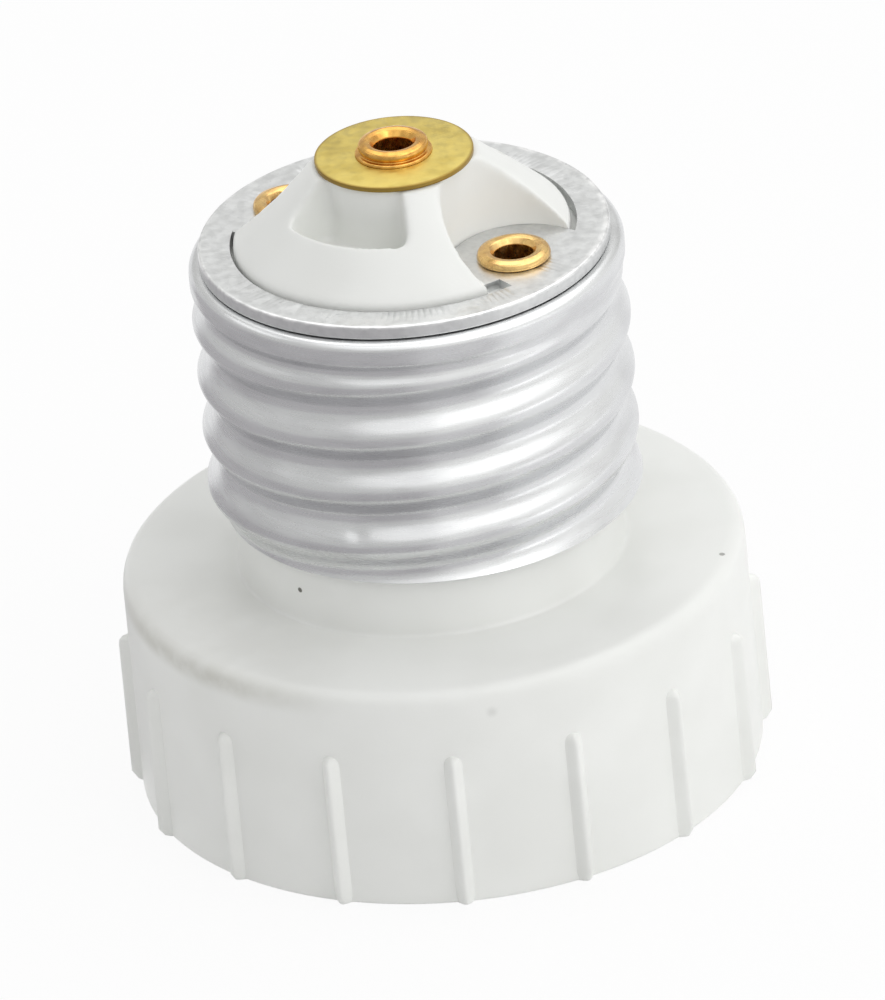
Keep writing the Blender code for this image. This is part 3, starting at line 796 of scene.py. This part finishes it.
@dataclass
class RibbedCap:
    """Ribbed cap, neck and core: the lower part of the white moulding."""

    heights: Heights
    cap_height: float = 14.4
    top_radius: float = 19.06
    rim_radius: float = 19.18
    edge: float = 1.05
    wall: float = 2.8
    shoulder: float = 3.1
    shoulder_width: float = 1.05
    roof_bottom: float = 12.4
    neck_run: float = 0.8
    neck_step: float = 0.1
    core_radius: float = 11.75
    core_bore: float = 10.05
    land_radius: float = 11.2
    land_step: float = 0.58
    land_thickness: float = 2.42
    hub_bore: float = 3.2
    steps: int = 192
    rib_count: int = 16
    rib_top: float = 10.1
    rib_proud: float = 0.75
    rib_half_width: float = 0.7
    rib_turn: float = -0.3
    rib_lift: float = 0.03
    rib_foot: float = 0.5
    rib_foot_share: float = 0.74
    rib_root: float = 0.5
    rib_draft: float = 0.09
    rib_edges: int = 14
    rib_fullness: float = 0.8
    rib_inset: float = 0.002
    crown: float = 0.7
    crown_steps: tuple[Point, ...] = ((0.3, 0.96), (0.22, 0.84), (0.12, 0.62), (0.05, 0.36))

    def body(self) -> bpy.types.Object:
        """Turn the cap, neck and core as one hollow piece, and bore it for the side rivets.

        Returns:
            The body.
        """
        land = self.heights.shell_top
        land_bottom = land - self.land_thickness
        core = self.core_radius
        neck = core + self.neck_step
        neck_top = self.heights.shell_bottom + self.neck_run
        inner = self.top_radius - self.wall
        corners = [
            (self.land_radius, land, 0.0), (self.land_radius, land - self.land_step, 0.0),
            (core, land - self.land_step, 0.0), (core, neck_top, 0.0), (neck, neck_top, 0.0),
            (neck, self.cap_height, 0.3), (self.top_radius, self.cap_height, self.edge),
            (self.rim_radius, 0.0, 0.25), (inner + self.shoulder_width, 0.0, 0.2),
            (inner + self.shoulder_width, self.shoulder, 0.0), (inner, self.shoulder, 0.15),
            (inner, self.roof_bottom, 0.6), (self.core_bore, self.roof_bottom, 0.3),
            (self.core_bore, land_bottom, 0.3), (self.hub_bore, land_bottom, 0.0), (self.hub_bore, land, 0.0),
        ]
        piece = turned("housing_cap", rounded(corners, True), self.steps)
        SideRivets.bore(piece, land_bottom - RUN, land + RUN)
        return piece

    def rib(self) -> bpy.types.Object:
        """Model one rib on the +X side: a bell-shaped section drawn up the wall, rounded off at both ends.

        Returns:
            The rib.
        """
        section = []
        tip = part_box("housing")[1].x - mm(self.rib_inset)
        for step in range(self.rib_edges + 1):
            t = 2 * step / self.rib_edges - 1
            proud = (0.5 + 0.5 * math.cos(math.pi * t)) ** self.rib_fullness
            section.append(Vector((tip - mm(self.rib_proud * (1 - proud)), mm(self.rib_half_width * t),
                                   mm(self.rib_lift))))
        root = mm(self.top_radius - self.rib_root)
        ends = [Vector((root, spot.y, spot.z)) for spot in (section[0], section[-1])]
        loop = [ends[0], *section, ends[1]]
        obj = started("rib", loop[0])
        draw_on(loop + loop[:1])
        merge_doubles()
        bpy.ops.mesh.edge_face_add()
        foot = self.rib_foot_share
        straight = self.rib_top - self.crown - self.rib_foot
        at_root = (root, 0.0, 0.0)
        bpy.ops.transform.resize(value=(foot, 1.0, 1.0), center_override=at_root)
        bpy.ops.mesh.extrude_region_move(TRANSFORM_OT_translate={"value": (0, 0, mm(self.rib_foot))})
        bpy.ops.transform.resize(value=(1 / foot, 1.0, 1.0), center_override=at_root)
        bpy.ops.mesh.extrude_region_move(
            TRANSFORM_OT_translate={"value": (mm(-self.rib_draft), 0, mm(straight))})
        for rise, narrow in self.crown_steps:
            bpy.ops.mesh.extrude_region_move(TRANSFORM_OT_translate={"value": (0, 0, mm(rise))})
            bpy.ops.transform.resize(value=(narrow, narrow, 1.0),
                                     center_override=(root, 0.0, mm(self.rib_top)))
        clean_up()
        return obj

    def build(self) -> None:
        """Join the body and its ribs and finish them."""
        body = self.body()
        places = {}
        for index in range(self.rib_count):
            turn = -90 + self.rib_turn + index * 360 / self.rib_count
            places[f"rib_{index}"] = Matrix.Rotation(math.radians(turn), 4, "Z")
        piece = joined([body, *copied(self.rib(), places)])
        smooth(piece, 40)
        marks = (
            Mark(on_circle(11.85, -134.0, 16.64), 0.2, 0.9),
            Mark(on_circle(18.15, -16.5, 14.38), 0.22, 0.6),
            Mark(on_circle(19.07, -82.4, 12.75), 0.5, 0.14, 1.0),
        )
        # Painted shade on the rounded edge of the cap, reaching round its left side
        painted_edge_shade = Mark(on_circle(self.top_radius, -147.0, 13.6), 13.0, 0.32, 0.75)
        finish = MouldedPbt("white_moulded_pbt_cap", "#F1F2EF", 0.36, marks=marks, painted_edge_shade=painted_edge_shade)
        finished(piece, finish, "white_pbt", "housing")


@dataclass
class Insulator:
    """Cone above the plate, left as two wings, with a pocket in each and a valley at each rivet."""

    heights: Heights
    hub_radius: float = 5.05
    wing_radius: float = 10.2
    wing_rise: float = 0.23
    valley_radius: float = 4.4
    valley_circle: float = 8.52
    valley_turns: tuple[float, float] = (-36.0, 144.0)
    valley_floor: float = 0.6
    pocket_radii: tuple[float, float] = (4.5, 7.3)
    pocket_floor: float = 36.7
    pocket_draft: tuple[float, float] = (0.55, 1.45)
    pocket_turns: tuple[float, float] = (-121.5, 58.5)
    pocket_half_angle: float = 34.0
    pocket_corner: float = 0.9
    rivet_hole: float = 1.6
    bore: float = 3.2
    roof: float = 3.9
    seat: float = 0.02
    voxel: float = 0.125
    melting: int = 26

    def cone(self) -> bpy.types.Object:
        """Turn the hollow cone, with the hole for the centre rivet through its roof.

        Returns:
            The cone.
        """
        top = self.heights.disc_bottom - self.seat
        wing = self.heights.plate_top + self.wing_rise
        bottom = self.heights.shell_top
        corners = [
            (self.rivet_hole, top, 0.0), (self.hub_radius, top, 0.15), (self.wing_radius, wing, 0.3),
            (self.wing_radius, bottom, 0.0), (self.bore, bottom, 0.0), (self.bore, top - self.roof, 0.0),
            (self.rivet_hole, top - self.roof, 0.0),
        ]
        return turned("housing_insulator", rounded(corners, True), 192)

    def pocket(self, turn: float) -> bpy.types.Object:
        """Model the cutter of one pocket, with rounded corners.

        Args:
            turn: Angle of the pocket's middle, in degrees.

        Returns:
            The cutter.
        """
        inner, outer = self.pocket_radii
        high = self.heights.disc_top + RUN
        narrower, wider = self.pocket_draft
        section = [(inner, self.pocket_floor), (outer - narrower, self.pocket_floor),
                   (outer + wider, high), (inner, high)]
        block = swept("pocket", section, turn - self.pocket_half_angle, turn + self.pocket_half_angle, 16)
        middle = mm((self.pocket_floor + high) / 2)
        ends = [math.radians(turn + side * self.pocket_half_angle) for side in (-1, 1)]

        def upright_edge(spot: Vector) -> bool:
            """Whether an edge is one of the four upright ones.

            Args:
                spot: Middle of the edge in metres.

            Returns:
                True if it is.
            """
            angle = math.atan2(spot.y, spot.x)
            return abs(spot.z - middle) < mm(0.1) and any(
                abs((angle - end + math.pi) % math.tau - math.pi) < 0.01 for end in ends)

        pick_edges(block, upright_edge)
        bpy.ops.mesh.bevel(offset=mm(self.pocket_corner), segments=5, affect="EDGES")
        bpy.ops.object.mode_set(mode="OBJECT")
        return block

    def build(self) -> None:
        """Cut the valleys and pockets, then melt the edges together as a mould does."""
        piece = self.cone()
        low = self.heights.plate_top - self.valley_floor
        drilled(piece, self.valley_radius, (low, self.heights.disc_top + RUN), self.valley_circle,
                self.valley_turns, 160)
        for turn in self.pocket_turns:
            cut(piece, self.pocket(turn))
        SideRivets.bore(piece, self.heights.shell_top - RUN, low + RUN)
        applied(piece, "REMESH", mode="VOXEL", voxel_size=mm(self.voxel), use_smooth_shade=True)
        applied(piece, "SMOOTH", factor=0.5, iterations=self.melting)
        smooth(piece, 180)
        finished(piece, MouldedPbt("white_moulded_pbt_insulator", "#F1F2EF", 0.38), "white_pbt", "housing")


@dataclass
class ScrewShell:
    """Rolled aluminium thread, cut flat at its lower end and rolled inwards under the plate."""

    heights: Heights
    pitch: float = 3.63
    crest: float = 13.23
    root: float = 12.35
    front_crest: float = 24.8
    rim_radius: float = 13.18
    below_top: float = 0.004
    roll: float = 0.6
    roll_steps: int = 6
    lip_radius: float = 11.5
    gauge: float = 0.28
    blend: tuple[float, float] = (31.87, 33.67)
    lean: float = 0.16
    lean_from: float = 20.0
    dent: tuple[float, float, float] = (-110.4, 21.8, 0.12)
    dent_size: float = 0.45
    rows: int = 104
    steps: int = 224

    def radius(self, height: float, angle: float) -> float:
        """Outer radius of the thread.

        Args:
            height: Height in millimetres.
            angle: Angle about the axis in radians.

        Returns:
            The radius in millimetres.
        """
        middle = (self.crest + self.root) / 2
        depth = (self.crest - self.root) / 2
        lead = self.pitch * (angle + math.pi / 2) / math.tau
        thread = middle + depth * math.cos(math.tau * (height - self.front_crest - lead) / self.pitch)
        share = min(max((height - self.blend[0]) / (self.blend[1] - self.blend[0]), 0.0), 1.0)
        share = share * share * (3 - 2 * share)
        rim = self.root + (self.rim_radius - self.root) * share
        return thread + (rim - thread) * share

    def tube(self, low: float, straight: float, top: float) -> bpy.types.Object:
        """Turn a plain tube that is rolled inwards at its top.

        Args:
            low: Height of its lower end in millimetres.
            straight: Height at which the roll starts.
            top: Height of its upper end.

        Returns:
            The tube, one surface without a gauge.
        """
        rise = (straight - low) / self.rows
        outline = [(self.rim_radius, low + rise * row) for row in range(self.rows + 1)]
        for step in range(1, self.roll_steps + 1):
            angle = math.pi / 2 * step / self.roll_steps
            outline.append((self.rim_radius - self.roll * (1 - math.cos(angle)),
                            straight + self.roll * math.sin(angle)))
        outline.append((self.lip_radius, top))
        return turned("screw_shell_rolled", outline, self.steps, closed=False)

    def build(self) -> None:
        """Press the thread and the dent into the tube, lean it, and give it its gauge."""
        top = self.heights.shell_top - self.below_top
        straight = top - self.roll
        piece = self.tube(self.heights.shell_bottom, straight, top)
        turn, dent_height, dent_depth = self.dent
        dented = on_circle(self.crest, turn, dent_height)
        for vertex in piece.data.vertices:
            height = vertex.co.z / MM
            if height < straight + 0.001:
                angle = math.atan2(vertex.co.y, vertex.co.x)
                away = (vertex.co - dented).length / mm(self.dent_size)
                wanted = self.radius(height, angle) - dent_depth * math.exp(-away ** 2)
                scale = mm(wanted) / math.hypot(vertex.co.x, vertex.co.y)
                vertex.co.x *= scale
                vertex.co.y *= scale
            vertex.co.x += mm(self.lean * max(height - self.lean_from, 0.0) / (top - self.lean_from))
        applied(piece, "SOLIDIFY", thickness=mm(self.gauge), offset=-1.0, use_even_offset=True)
        smooth(piece, 50)
        finished(piece, RolledAluminium("bright_rolled_aluminium", "#DEDFE0", 0.28, 1.0), "shell_aluminium",
                 "screw_shell")


@dataclass
class ClampPlate:
    """Flat ring that holds the shell, with a tab round each side rivet."""

    heights: Heights
    radius: float = 12.45
    opening: float = 10.5
    above_shell: float = 0.06
    tab_radius: float = 4.37
    notch_width: float = 1.2
    notch_run: float = 0.02
    notch_turns: tuple[float, float] = (-32.0, -18.5)
    shift: float = 0.1

    def build(self) -> None:
        """Turn the ring, punch its opening round the tabs, and round its edges."""
        top = self.heights.plate_top
        low = self.heights.shell_top + self.above_shell
        corners = [(0.0, top, 0.0), (self.radius, top, 0.16), (self.radius, low, 0.1), (0.0, low, 0.0)]
        piece = turned("shell_clamp_plate_stamped", rounded(corners, False), 192, closed=False)
        opening = upright("opening", self.opening, low - RUN, top + RUN, Vector(), 192)
        drilled(opening, self.tab_radius, (low - 2 * RUN, top + 2 * RUN), Insulator.valley_circle,
                Insulator.valley_turns, 128)
        cut(piece, opening)
        section = box_section(self.opening - self.notch_width, self.opening + self.notch_run,
                              low - RUN, top + RUN)
        start, end = self.notch_turns
        for turn in Insulator.valley_turns:
            cut(piece, swept("notch", section, turn + start, turn + end, 8))
        SideRivets.bore(piece, low - RUN, top + RUN)
        softened(piece, 0.05)
        piece.data.transform(Matrix.Translation((mm(self.shift), 0.0, 0.0)))
        smooth(piece, 40, flats=True)
        finished(piece, StampedAluminium("satin_stamped_aluminium", "#DADBDB", 0.34, 1.0), "plate_aluminium",
                 "shell_clamp_plate")


@dataclass
class CentreContact:
    """Brass disc and the hollow rivet through it."""

    heights: Heights
    disc_radius: float = 4.8
    hole: float = 1.6
    bore: float = 1.1
    shank: float = 1.45
    tail: float = 1.85
    seat: float = 0.02
    settled: float = 0.18

    def disc(self) -> None:
        """Turn the thin disc."""
        top = self.heights.disc_top
        low = self.heights.disc_bottom
        corners = [(self.hole, top, 0.0), (self.disc_radius, top, 0.06), (self.disc_radius, low, 0.1),
                   (self.hole, low, 0.0)]
        piece = turned("center_contact_disc_brass", rounded(corners, True, 3), 160)
        smooth(piece, 50)
        finish = Brass("satin_sheet_brass", "#D6C26F", 0.4, 1.0, tarnish="#B09A4A", patch=1.4, share=0.5,
                       edge_radius=self.disc_radius)
        finished(piece, finish, "disc_brass", "center_contact_disc")

    def rivet(self) -> None:
        """Turn the rivet, whose head is a rolled ring on a slightly wider one."""
        top = self.heights.top - self.settled
        under = self.heights.disc_top + self.seat
        foot = levels_of("center_rivet")[0]
        corners = [
            (self.bore, self.heights.disc_top - 1.0, 0.1), (self.bore + 0.05, top - 0.42, 0.2),
            (1.42, top - 0.06, 0.2), (1.72, top, 0.3), (2.06, top - 0.1, 0.2), (2.15, top - 0.4, 0.25),
            (2.0, top - 0.62, 0.08), (2.3, top - 0.66, 0.12), (2.36, top - 0.84, 0.12), (2.2, under, 0.1),
            (self.shank, under, 0.0), (self.shank, foot + 0.5, 0.1), (self.tail, foot + 0.4, 0.1),
            (self.tail, foot, 0.1), (self.bore, foot, 0.1),
        ]
        piece = turned("center_rivet_rolled", rounded(corners, True), 96)
        smooth(piece, 60)
        finish = Brass("bright_rolled_brass_center", "#E6B25E", 0.2, 1.0, tarnish="#8A4A18", patch=0.7,
                       share=0.45)
        finished(piece, finish, "rivet_brass", "center_rivet")

    def build(self) -> None:
        """Make the disc and the rivet."""
        self.disc()
        self.rivet()


@dataclass
class SideRivets:
    """Hollow rivets through the tabs of the plate."""

    heights: Heights
    circle: float = 8.12
    turns: tuple[float, float] = (-36.4, 144.2)
    hole: float = 1.6
    bore_radius: float = 1.15
    shank: float = 1.45
    tail: float = 1.85
    seat: float = 0.02
    head_height: float = 0.6

    @classmethod
    def bore(cls, piece: bpy.types.Object, low: float, high: float) -> None:
        """Drill a piece for both rivets between two heights in millimetres."""
        drilled(piece, cls.hole, (low, high), cls.circle, cls.turns, 48)

    def build(self) -> None:
        """Turn one rivet, move a copy to each tab, and finish both."""
        seat = self.heights.plate_top
        under = seat + self.seat
        foot = levels_of("side_rivet_a")[0]
        head = seat + self.head_height
        bore = self.bore_radius
        corners = [
            (bore, seat - 1.5, 0.1), (bore + 0.03, head - 0.36, 0.15), (1.42, head - 0.05, 0.2),
            (1.78, head, 0.3), (2.14, head - 0.12, 0.25), (2.25, head - 0.42, 0.2), (2.16, under, 0.12),
            (self.shank, under, 0.0), (self.shank, foot + 0.5, 0.1), (self.tail, foot + 0.4, 0.1),
            (self.tail, foot, 0.1), (bore, foot, 0.1),
        ]
        places = {f"side_rivet_{letter}_rolled": Matrix.Translation(on_circle(self.circle, turn))
                  for letter, turn in zip("ab", self.turns)}
        rivets = copied(turned("side_rivet_rolled", rounded(corners, True), 96), places)
        for letter, rivet in zip("ab", rivets):
            smooth(rivet, 60)
            finish = Brass(f"bright_rolled_brass_side_{letter}", "#ECC683", 0.2, 1.0, tarnish="#96571F",
                           patch=0.7, share=0.4)
            finished(rivet, finish, "rivet_brass", f"side_rivet_{letter}")


@dataclass
class FaceCover:
    """Cover under the cap, with a keyhole for each lamp pin, and its two screws."""

    pin_circle: float = 12.0
    entry_radius: float = 3.0
    slot_half_width: float = 1.6
    twist: float = 28.0
    locked_turns: tuple[float, float] = (-36.5, 143.5)
    screw_circle: float = 12.5
    screw_turns: tuple[float, float] = (39.0, 219.0)
    counterbore_radius: float = 2.5
    counterbore_depth: float = 1.4
    screw_hole: float = 1.5
    screw_head: Point = (2.2, 1.0)
    screw_shank: float = 1.2
    screw_point: float = 0.6
    recess: Point = (0.5, 2.4)
    recess_depth: float = 0.6

    def cover(self) -> None:
        """Turn the cover and cut its keyholes and screw holes."""
        low, high = levels_of("face_cover")
        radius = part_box("face_cover")[1].x / MM
        corners = [(0.0, high, 0.0), (radius, high, 0.1), (radius, low, 0.35), (0.0, low, 0.0)]
        piece = turned("face_cover_moulded", rounded(corners, False), 160, closed=False)
        through = (low - RUN, high + RUN)
        section = box_section(self.pin_circle - self.slot_half_width,
                              self.pin_circle + self.slot_half_width, *through)
        for locked in self.locked_turns:
            entry = locked - self.twist
            cut(piece, swept("slot", section, entry, locked, 20))
            drilled(piece, self.slot_half_width, through, self.pin_circle, [locked], 40)
            drilled(piece, self.entry_radius, through, self.pin_circle, [entry], 64)
        sunk = (low - RUN, low + self.counterbore_depth)
        for turn in self.screw_turns:
            drilled(piece, self.counterbore_radius, sunk, self.screw_circle, [turn], 64)
            drilled(piece, self.screw_hole, through, self.screw_circle, [turn], 48)
        softened(piece, 0.12)
        smooth(piece, 40, flats=True)
        finished(piece, MouldedPbt("matt_moulded_pbt_cover", "#DEDED9", 0.48), "cover_pbt", "face_cover")

    def screws(self) -> None:
        """Turn one pan-head screw, cut its cross recess, and place a copy in each counterbore."""
        low, high = levels_of("cover_screw_a")
        head, depth = self.screw_head
        under = low + depth
        corners = [
            (0.0, high, 0.0), (self.screw_point, high, 0.1), (self.screw_shank, high - self.screw_point, 0.1),
            (self.screw_shank, under, 0.0), (head, under, 0.08), (head, low + 0.35, 0.4), (1.3, low, 0.5),
            (0.0, low, 0.0),
        ]
        first = turned("cover_screw", rounded(corners, False), 48, closed=False)
        for across, along in (self.recess, self.recess[::-1]):
            bpy.ops.object.select_all(action="DESELECT")
            bpy.ops.mesh.primitive_cube_add(size=1.0, location=(0, 0, mm(low)),
                                            scale=(mm(across), mm(along), mm(2 * self.recess_depth)))
            bar = bpy.context.object
            bpy.ops.object.transform_apply(location=True, rotation=True, scale=True)
            cut(first, bar)
        softened(first, 0.05)
        places = {f"cover_screw_{letter}_plated": Matrix.Translation(on_circle(self.screw_circle, turn))
                  for letter, turn in zip("ab", self.screw_turns)}
        for letter, screw in zip("ab", copied(first, places)):
            smooth(screw, 35)
            finish = PlatedSteel(f"zinc_plated_steel_screw_{letter}", "#B4B6BA", 0.34, 1.0)
            finished(screw, finish, "screw_steel", f"cover_screw_{letter}")

    def build(self) -> None:
        """Make the cover and its screws."""
        self.cover()
        self.screws()


@dataclass
class InnerParts:
    """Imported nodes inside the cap, which keep their shape and get a finish."""

    nodes: dict[str, bpy.types.Object]

    def build(self) -> None:
        """Dress the contact strips and the washer."""
        spring = Brass("rolled_spring_brass", "#C2A35A", 0.36, 1.0, tarnish="#7D6328", patch=1.8,
                       line=(1.0, 1.0, 0.2)).material()
        steel = PlatedSteel("zinc_plated_steel_washer", "#A9ABAF", 0.38, 1.0).material()
        for name, material in (("neutral_contact", spring), ("line_contact", spring),
                               ("rivet_washer", steel)):
            mesh = self.nodes[name].data
            mesh.materials.clear()
            mesh.materials.append(material)
            LOG.info("%s: keeps its packed shape", name)


@dataclass(frozen=True)
class Lamp:
    """A soft square lamp that faces the object, its distance and size in metres."""

    name: str
    azimuth: float
    elevation: float
    distance: float
    size: float
    share: float

    def build(self) -> None:
        """Place the lamp, with its power worked out from the share of plain daylight that it gives."""
        data = bpy.data.lights.new(self.name, "AREA")
        data.shape = "SQUARE"
        data.size = self.size
        data.energy = math.pi ** 2 * self.distance ** 2 * self.share
        lamp = bpy.data.objects.new(self.name, data)
        bpy.context.scene.collection.objects.link(lamp)
        turn, rise = math.radians(self.azimuth), math.radians(self.elevation)
        flat = math.cos(rise)
        back = Vector((flat * math.cos(turn), flat * math.sin(turn), math.sin(rise)))
        lamp.location = back * self.distance
        lamp.rotation_mode = "QUATERNION"
        lamp.rotation_quaternion = (-back).to_track_quat("-Z", "Y")


@dataclass(frozen=True)
class Card:
    """A card curved round the object, out of the picture, that the bright metal mirrors."""

    name: str
    inner: Point
    outer: Point
    start: float
    end: float
    shade: str
    thickness: float = 0.4

    def build(self) -> None:
        """Sweep the card round the object, and let only mirrored light see it."""
        upright_card = self.inner[0] == self.outer[0]
        wide, high = (self.thickness, 0.0) if upright_card else (0.0, self.thickness)
        corners = [self.inner, self.outer, (self.outer[0] + wide, self.outer[1] + high),
                   (self.inner[0] + wide, self.inner[1] + high)]
        card = swept(self.name, corners, self.start, self.end, 24)
        made = bpy.data.materials.new(self.name)
        made.use_nodes = True
        tree = made.node_tree
        plain = add_node(tree, "ShaderNodeEmission", {"Color": linear(self.shade), "Strength": 1.0})
        tree.links.new(plain.outputs[0], tree.nodes["Material Output"].inputs["Surface"])
        card.data.materials.append(made)
        card.visible_camera = False
        card.visible_diffuse = False
        card.visible_shadow = False


@dataclass
class Studio:
    """Camera, floor, surroundings, cards and lamps."""

    aim_height: float = 18.0
    distance: float = 700.0
    elevation: float = 0.49012
    roll: float = 0.09908
    pan: float = -0.00123
    tilt: float = -0.00096
    focal_per_sensor: float = 11.4956
    sensor: float = 36.0
    surroundings: float = 0.25
    floor_colour: str = "#F2F2F2"
    floor_size: float = 6.0
    floor_white: float = 0.9
    lamps: tuple[Lamp, ...] = (
        Lamp("front_right", -45.0, 20.0, 0.6, 0.7, 0.26),
        Lamp("right", -15.0, 40.0, 0.6, 0.75, 0.43),
        Lamp("overhead", 75.0, 60.0, 0.6, 0.65, 0.4),
        Lamp("front", -100.0, 45.0, 0.6, 0.75, 0.25),
        Lamp("back_left", 165.0, 25.0, 0.6, 0.5, 0.22),
    )
    cards: tuple[Card, ...] = (
        Card("dark_table", (21.0, 0.1), (500.0, 0.1), 130.0, 270.0, "#BBB9BB"),
        Card("dark_room", (500.0, 0.5), (500.0, 90.0), 130.0, 270.0, "#BBB9BB"),
        Card("pale_table", (21.0, 0.1), (500.0, 0.1), 270.0, 310.0, "#DAD9DA"),
        Card("pale_room", (500.0, 0.5), (500.0, 90.0), 270.0, 310.0, "#DAD9DA"),
        Card("dim_tent", (500.0, 90.0), (500.0, 900.0), 130.0, 272.0, "#D0D0CF"),
        Card("pale_tent", (500.0, 90.0), (500.0, 900.0), 272.0, 400.0, "#FAFAF8"),
        Card("back_tent", (500.0, 90.0), (500.0, 900.0), 400.0, 490.0, "#D6D6D4"),
    )

    def camera(self) -> None:
        """Place the camera as the photograph's was."""
        back = Vector((0.0, -math.cos(self.elevation), math.sin(self.elevation)))
        right, ahead = Vector((1.0, 0.0, 0.0)), -back
        up = right.cross(ahead)
        swing = Quaternion(up, self.pan)
        ahead, right = swing @ ahead, swing @ right
        nod = Quaternion(right, self.tilt)
        ahead, up = nod @ ahead, nod @ up
        lean = Quaternion(ahead, self.roll)
        right, up = lean @ right, lean @ up
        data = bpy.data.cameras.new("photograph")
        data.sensor_width = self.sensor
        data.lens = self.sensor * self.focal_per_sensor
        data.clip_start = 0.05
        data.clip_end = 20.0
        camera = bpy.data.objects.new("photograph", data)
        bpy.context.scene.collection.objects.link(camera)
        turn = Matrix((right, up, -ahead)).transposed().to_4x4()
        place = (back * self.distance + Vector((0, 0, self.aim_height))) * MM
        camera.matrix_world = Matrix.Translation(place) @ turn
        bpy.context.scene.camera = camera

    def seen_by(self, tree: bpy.types.NodeTree) -> bpy.types.NodeSocket:
        """Whether a ray is one that sees the background: straight, mirrored or through glass.

        Args:
            tree: Tree of the floor or the surroundings.

        Returns:
            1 for such a ray and 0 for light that falls on the object.
        """
        rays = add_node(tree, "ShaderNodeLightPath").outputs
        seen = rays["Is Camera Ray"]
        for kind in ("Is Glossy Ray", "Is Transmission Ray"):
            seen = add_node(tree, "ShaderNodeMath", None, {0: seen, 1: rays[kind]},
                            operation="MAXIMUM").outputs[0]
        return seen

    def world(self) -> None:
        """White surroundings that light the object at a plain level."""
        world = bpy.data.worlds.new("surroundings")
        world.use_nodes = True
        bpy.context.scene.world = world
        tree = world.node_tree
        strength = add_node(tree, "ShaderNodeMapRange", {"To Min": self.surroundings, "To Max": 1.0},
                            {"Value": self.seen_by(tree)})
        background = tree.nodes["Background"]
        background.inputs["Color"].default_value = (1.0, 1.0, 1.0, 1.0)
        tree.links.new(strength.outputs[0], background.inputs["Strength"])

    def floor(self) -> None:
        """Pale floor that looks white and still takes the object's shadow."""
        bpy.ops.object.select_all(action="DESELECT")
        bpy.ops.mesh.primitive_plane_add(size=self.floor_size, location=(0, 0, 0))
        plane = bpy.context.object
        plane.name = "floor"
        made = bpy.data.materials.new("white_card")
        made.use_nodes = True
        tree = made.node_tree
        shader = tree.nodes["Principled BSDF"]
        shader.inputs["Base Color"].default_value = linear(self.floor_colour)
        shader.inputs["Roughness"].default_value = 0.9
        white = add_node(tree, "ShaderNodeEmission", {"Color": (1.0, 1.0, 1.0, 1.0), "Strength": 1.0})
        share = add_node(tree, "ShaderNodeMath", {1: self.floor_white}, {0: self.seen_by(tree)},
                         operation="MULTIPLY")
        mix = add_node(tree, "ShaderNodeMixShader", None,
                       {0: share.outputs[0], 1: shader.outputs[0], 2: white.outputs[0]})
        tree.links.new(mix.outputs[0], tree.nodes["Material Output"].inputs["Surface"])
        plane.data.materials.append(made)

    def build(self) -> None:
        """Make the camera, the surroundings, the floor, the cards and the lamps."""
        self.camera()
        self.world()
        self.floor()
        for thing in (*self.cards, *self.lamps):
            thing.build()
        bpy.context.scene.view_settings.view_transform = "Standard"


def main() -> None:
    """Load the frame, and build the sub-assemblies in order."""
    logging.basicConfig(level=logging.INFO, format="%(name)s %(message)s")
    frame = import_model()
    Studio().build()
    heights = Heights()
    RibbedCap(heights).build()
    Insulator(heights).build()
    ScrewShell(heights).build()
    ClampPlate(heights).build()
    CentreContact(heights).build()
    SideRivets(heights).build()
    FaceCover().build()
    InnerParts(frame["nodes"]).build()
    bpy.ops.object.select_all(action="DESELECT")


if __name__ == "__main__":
    main()
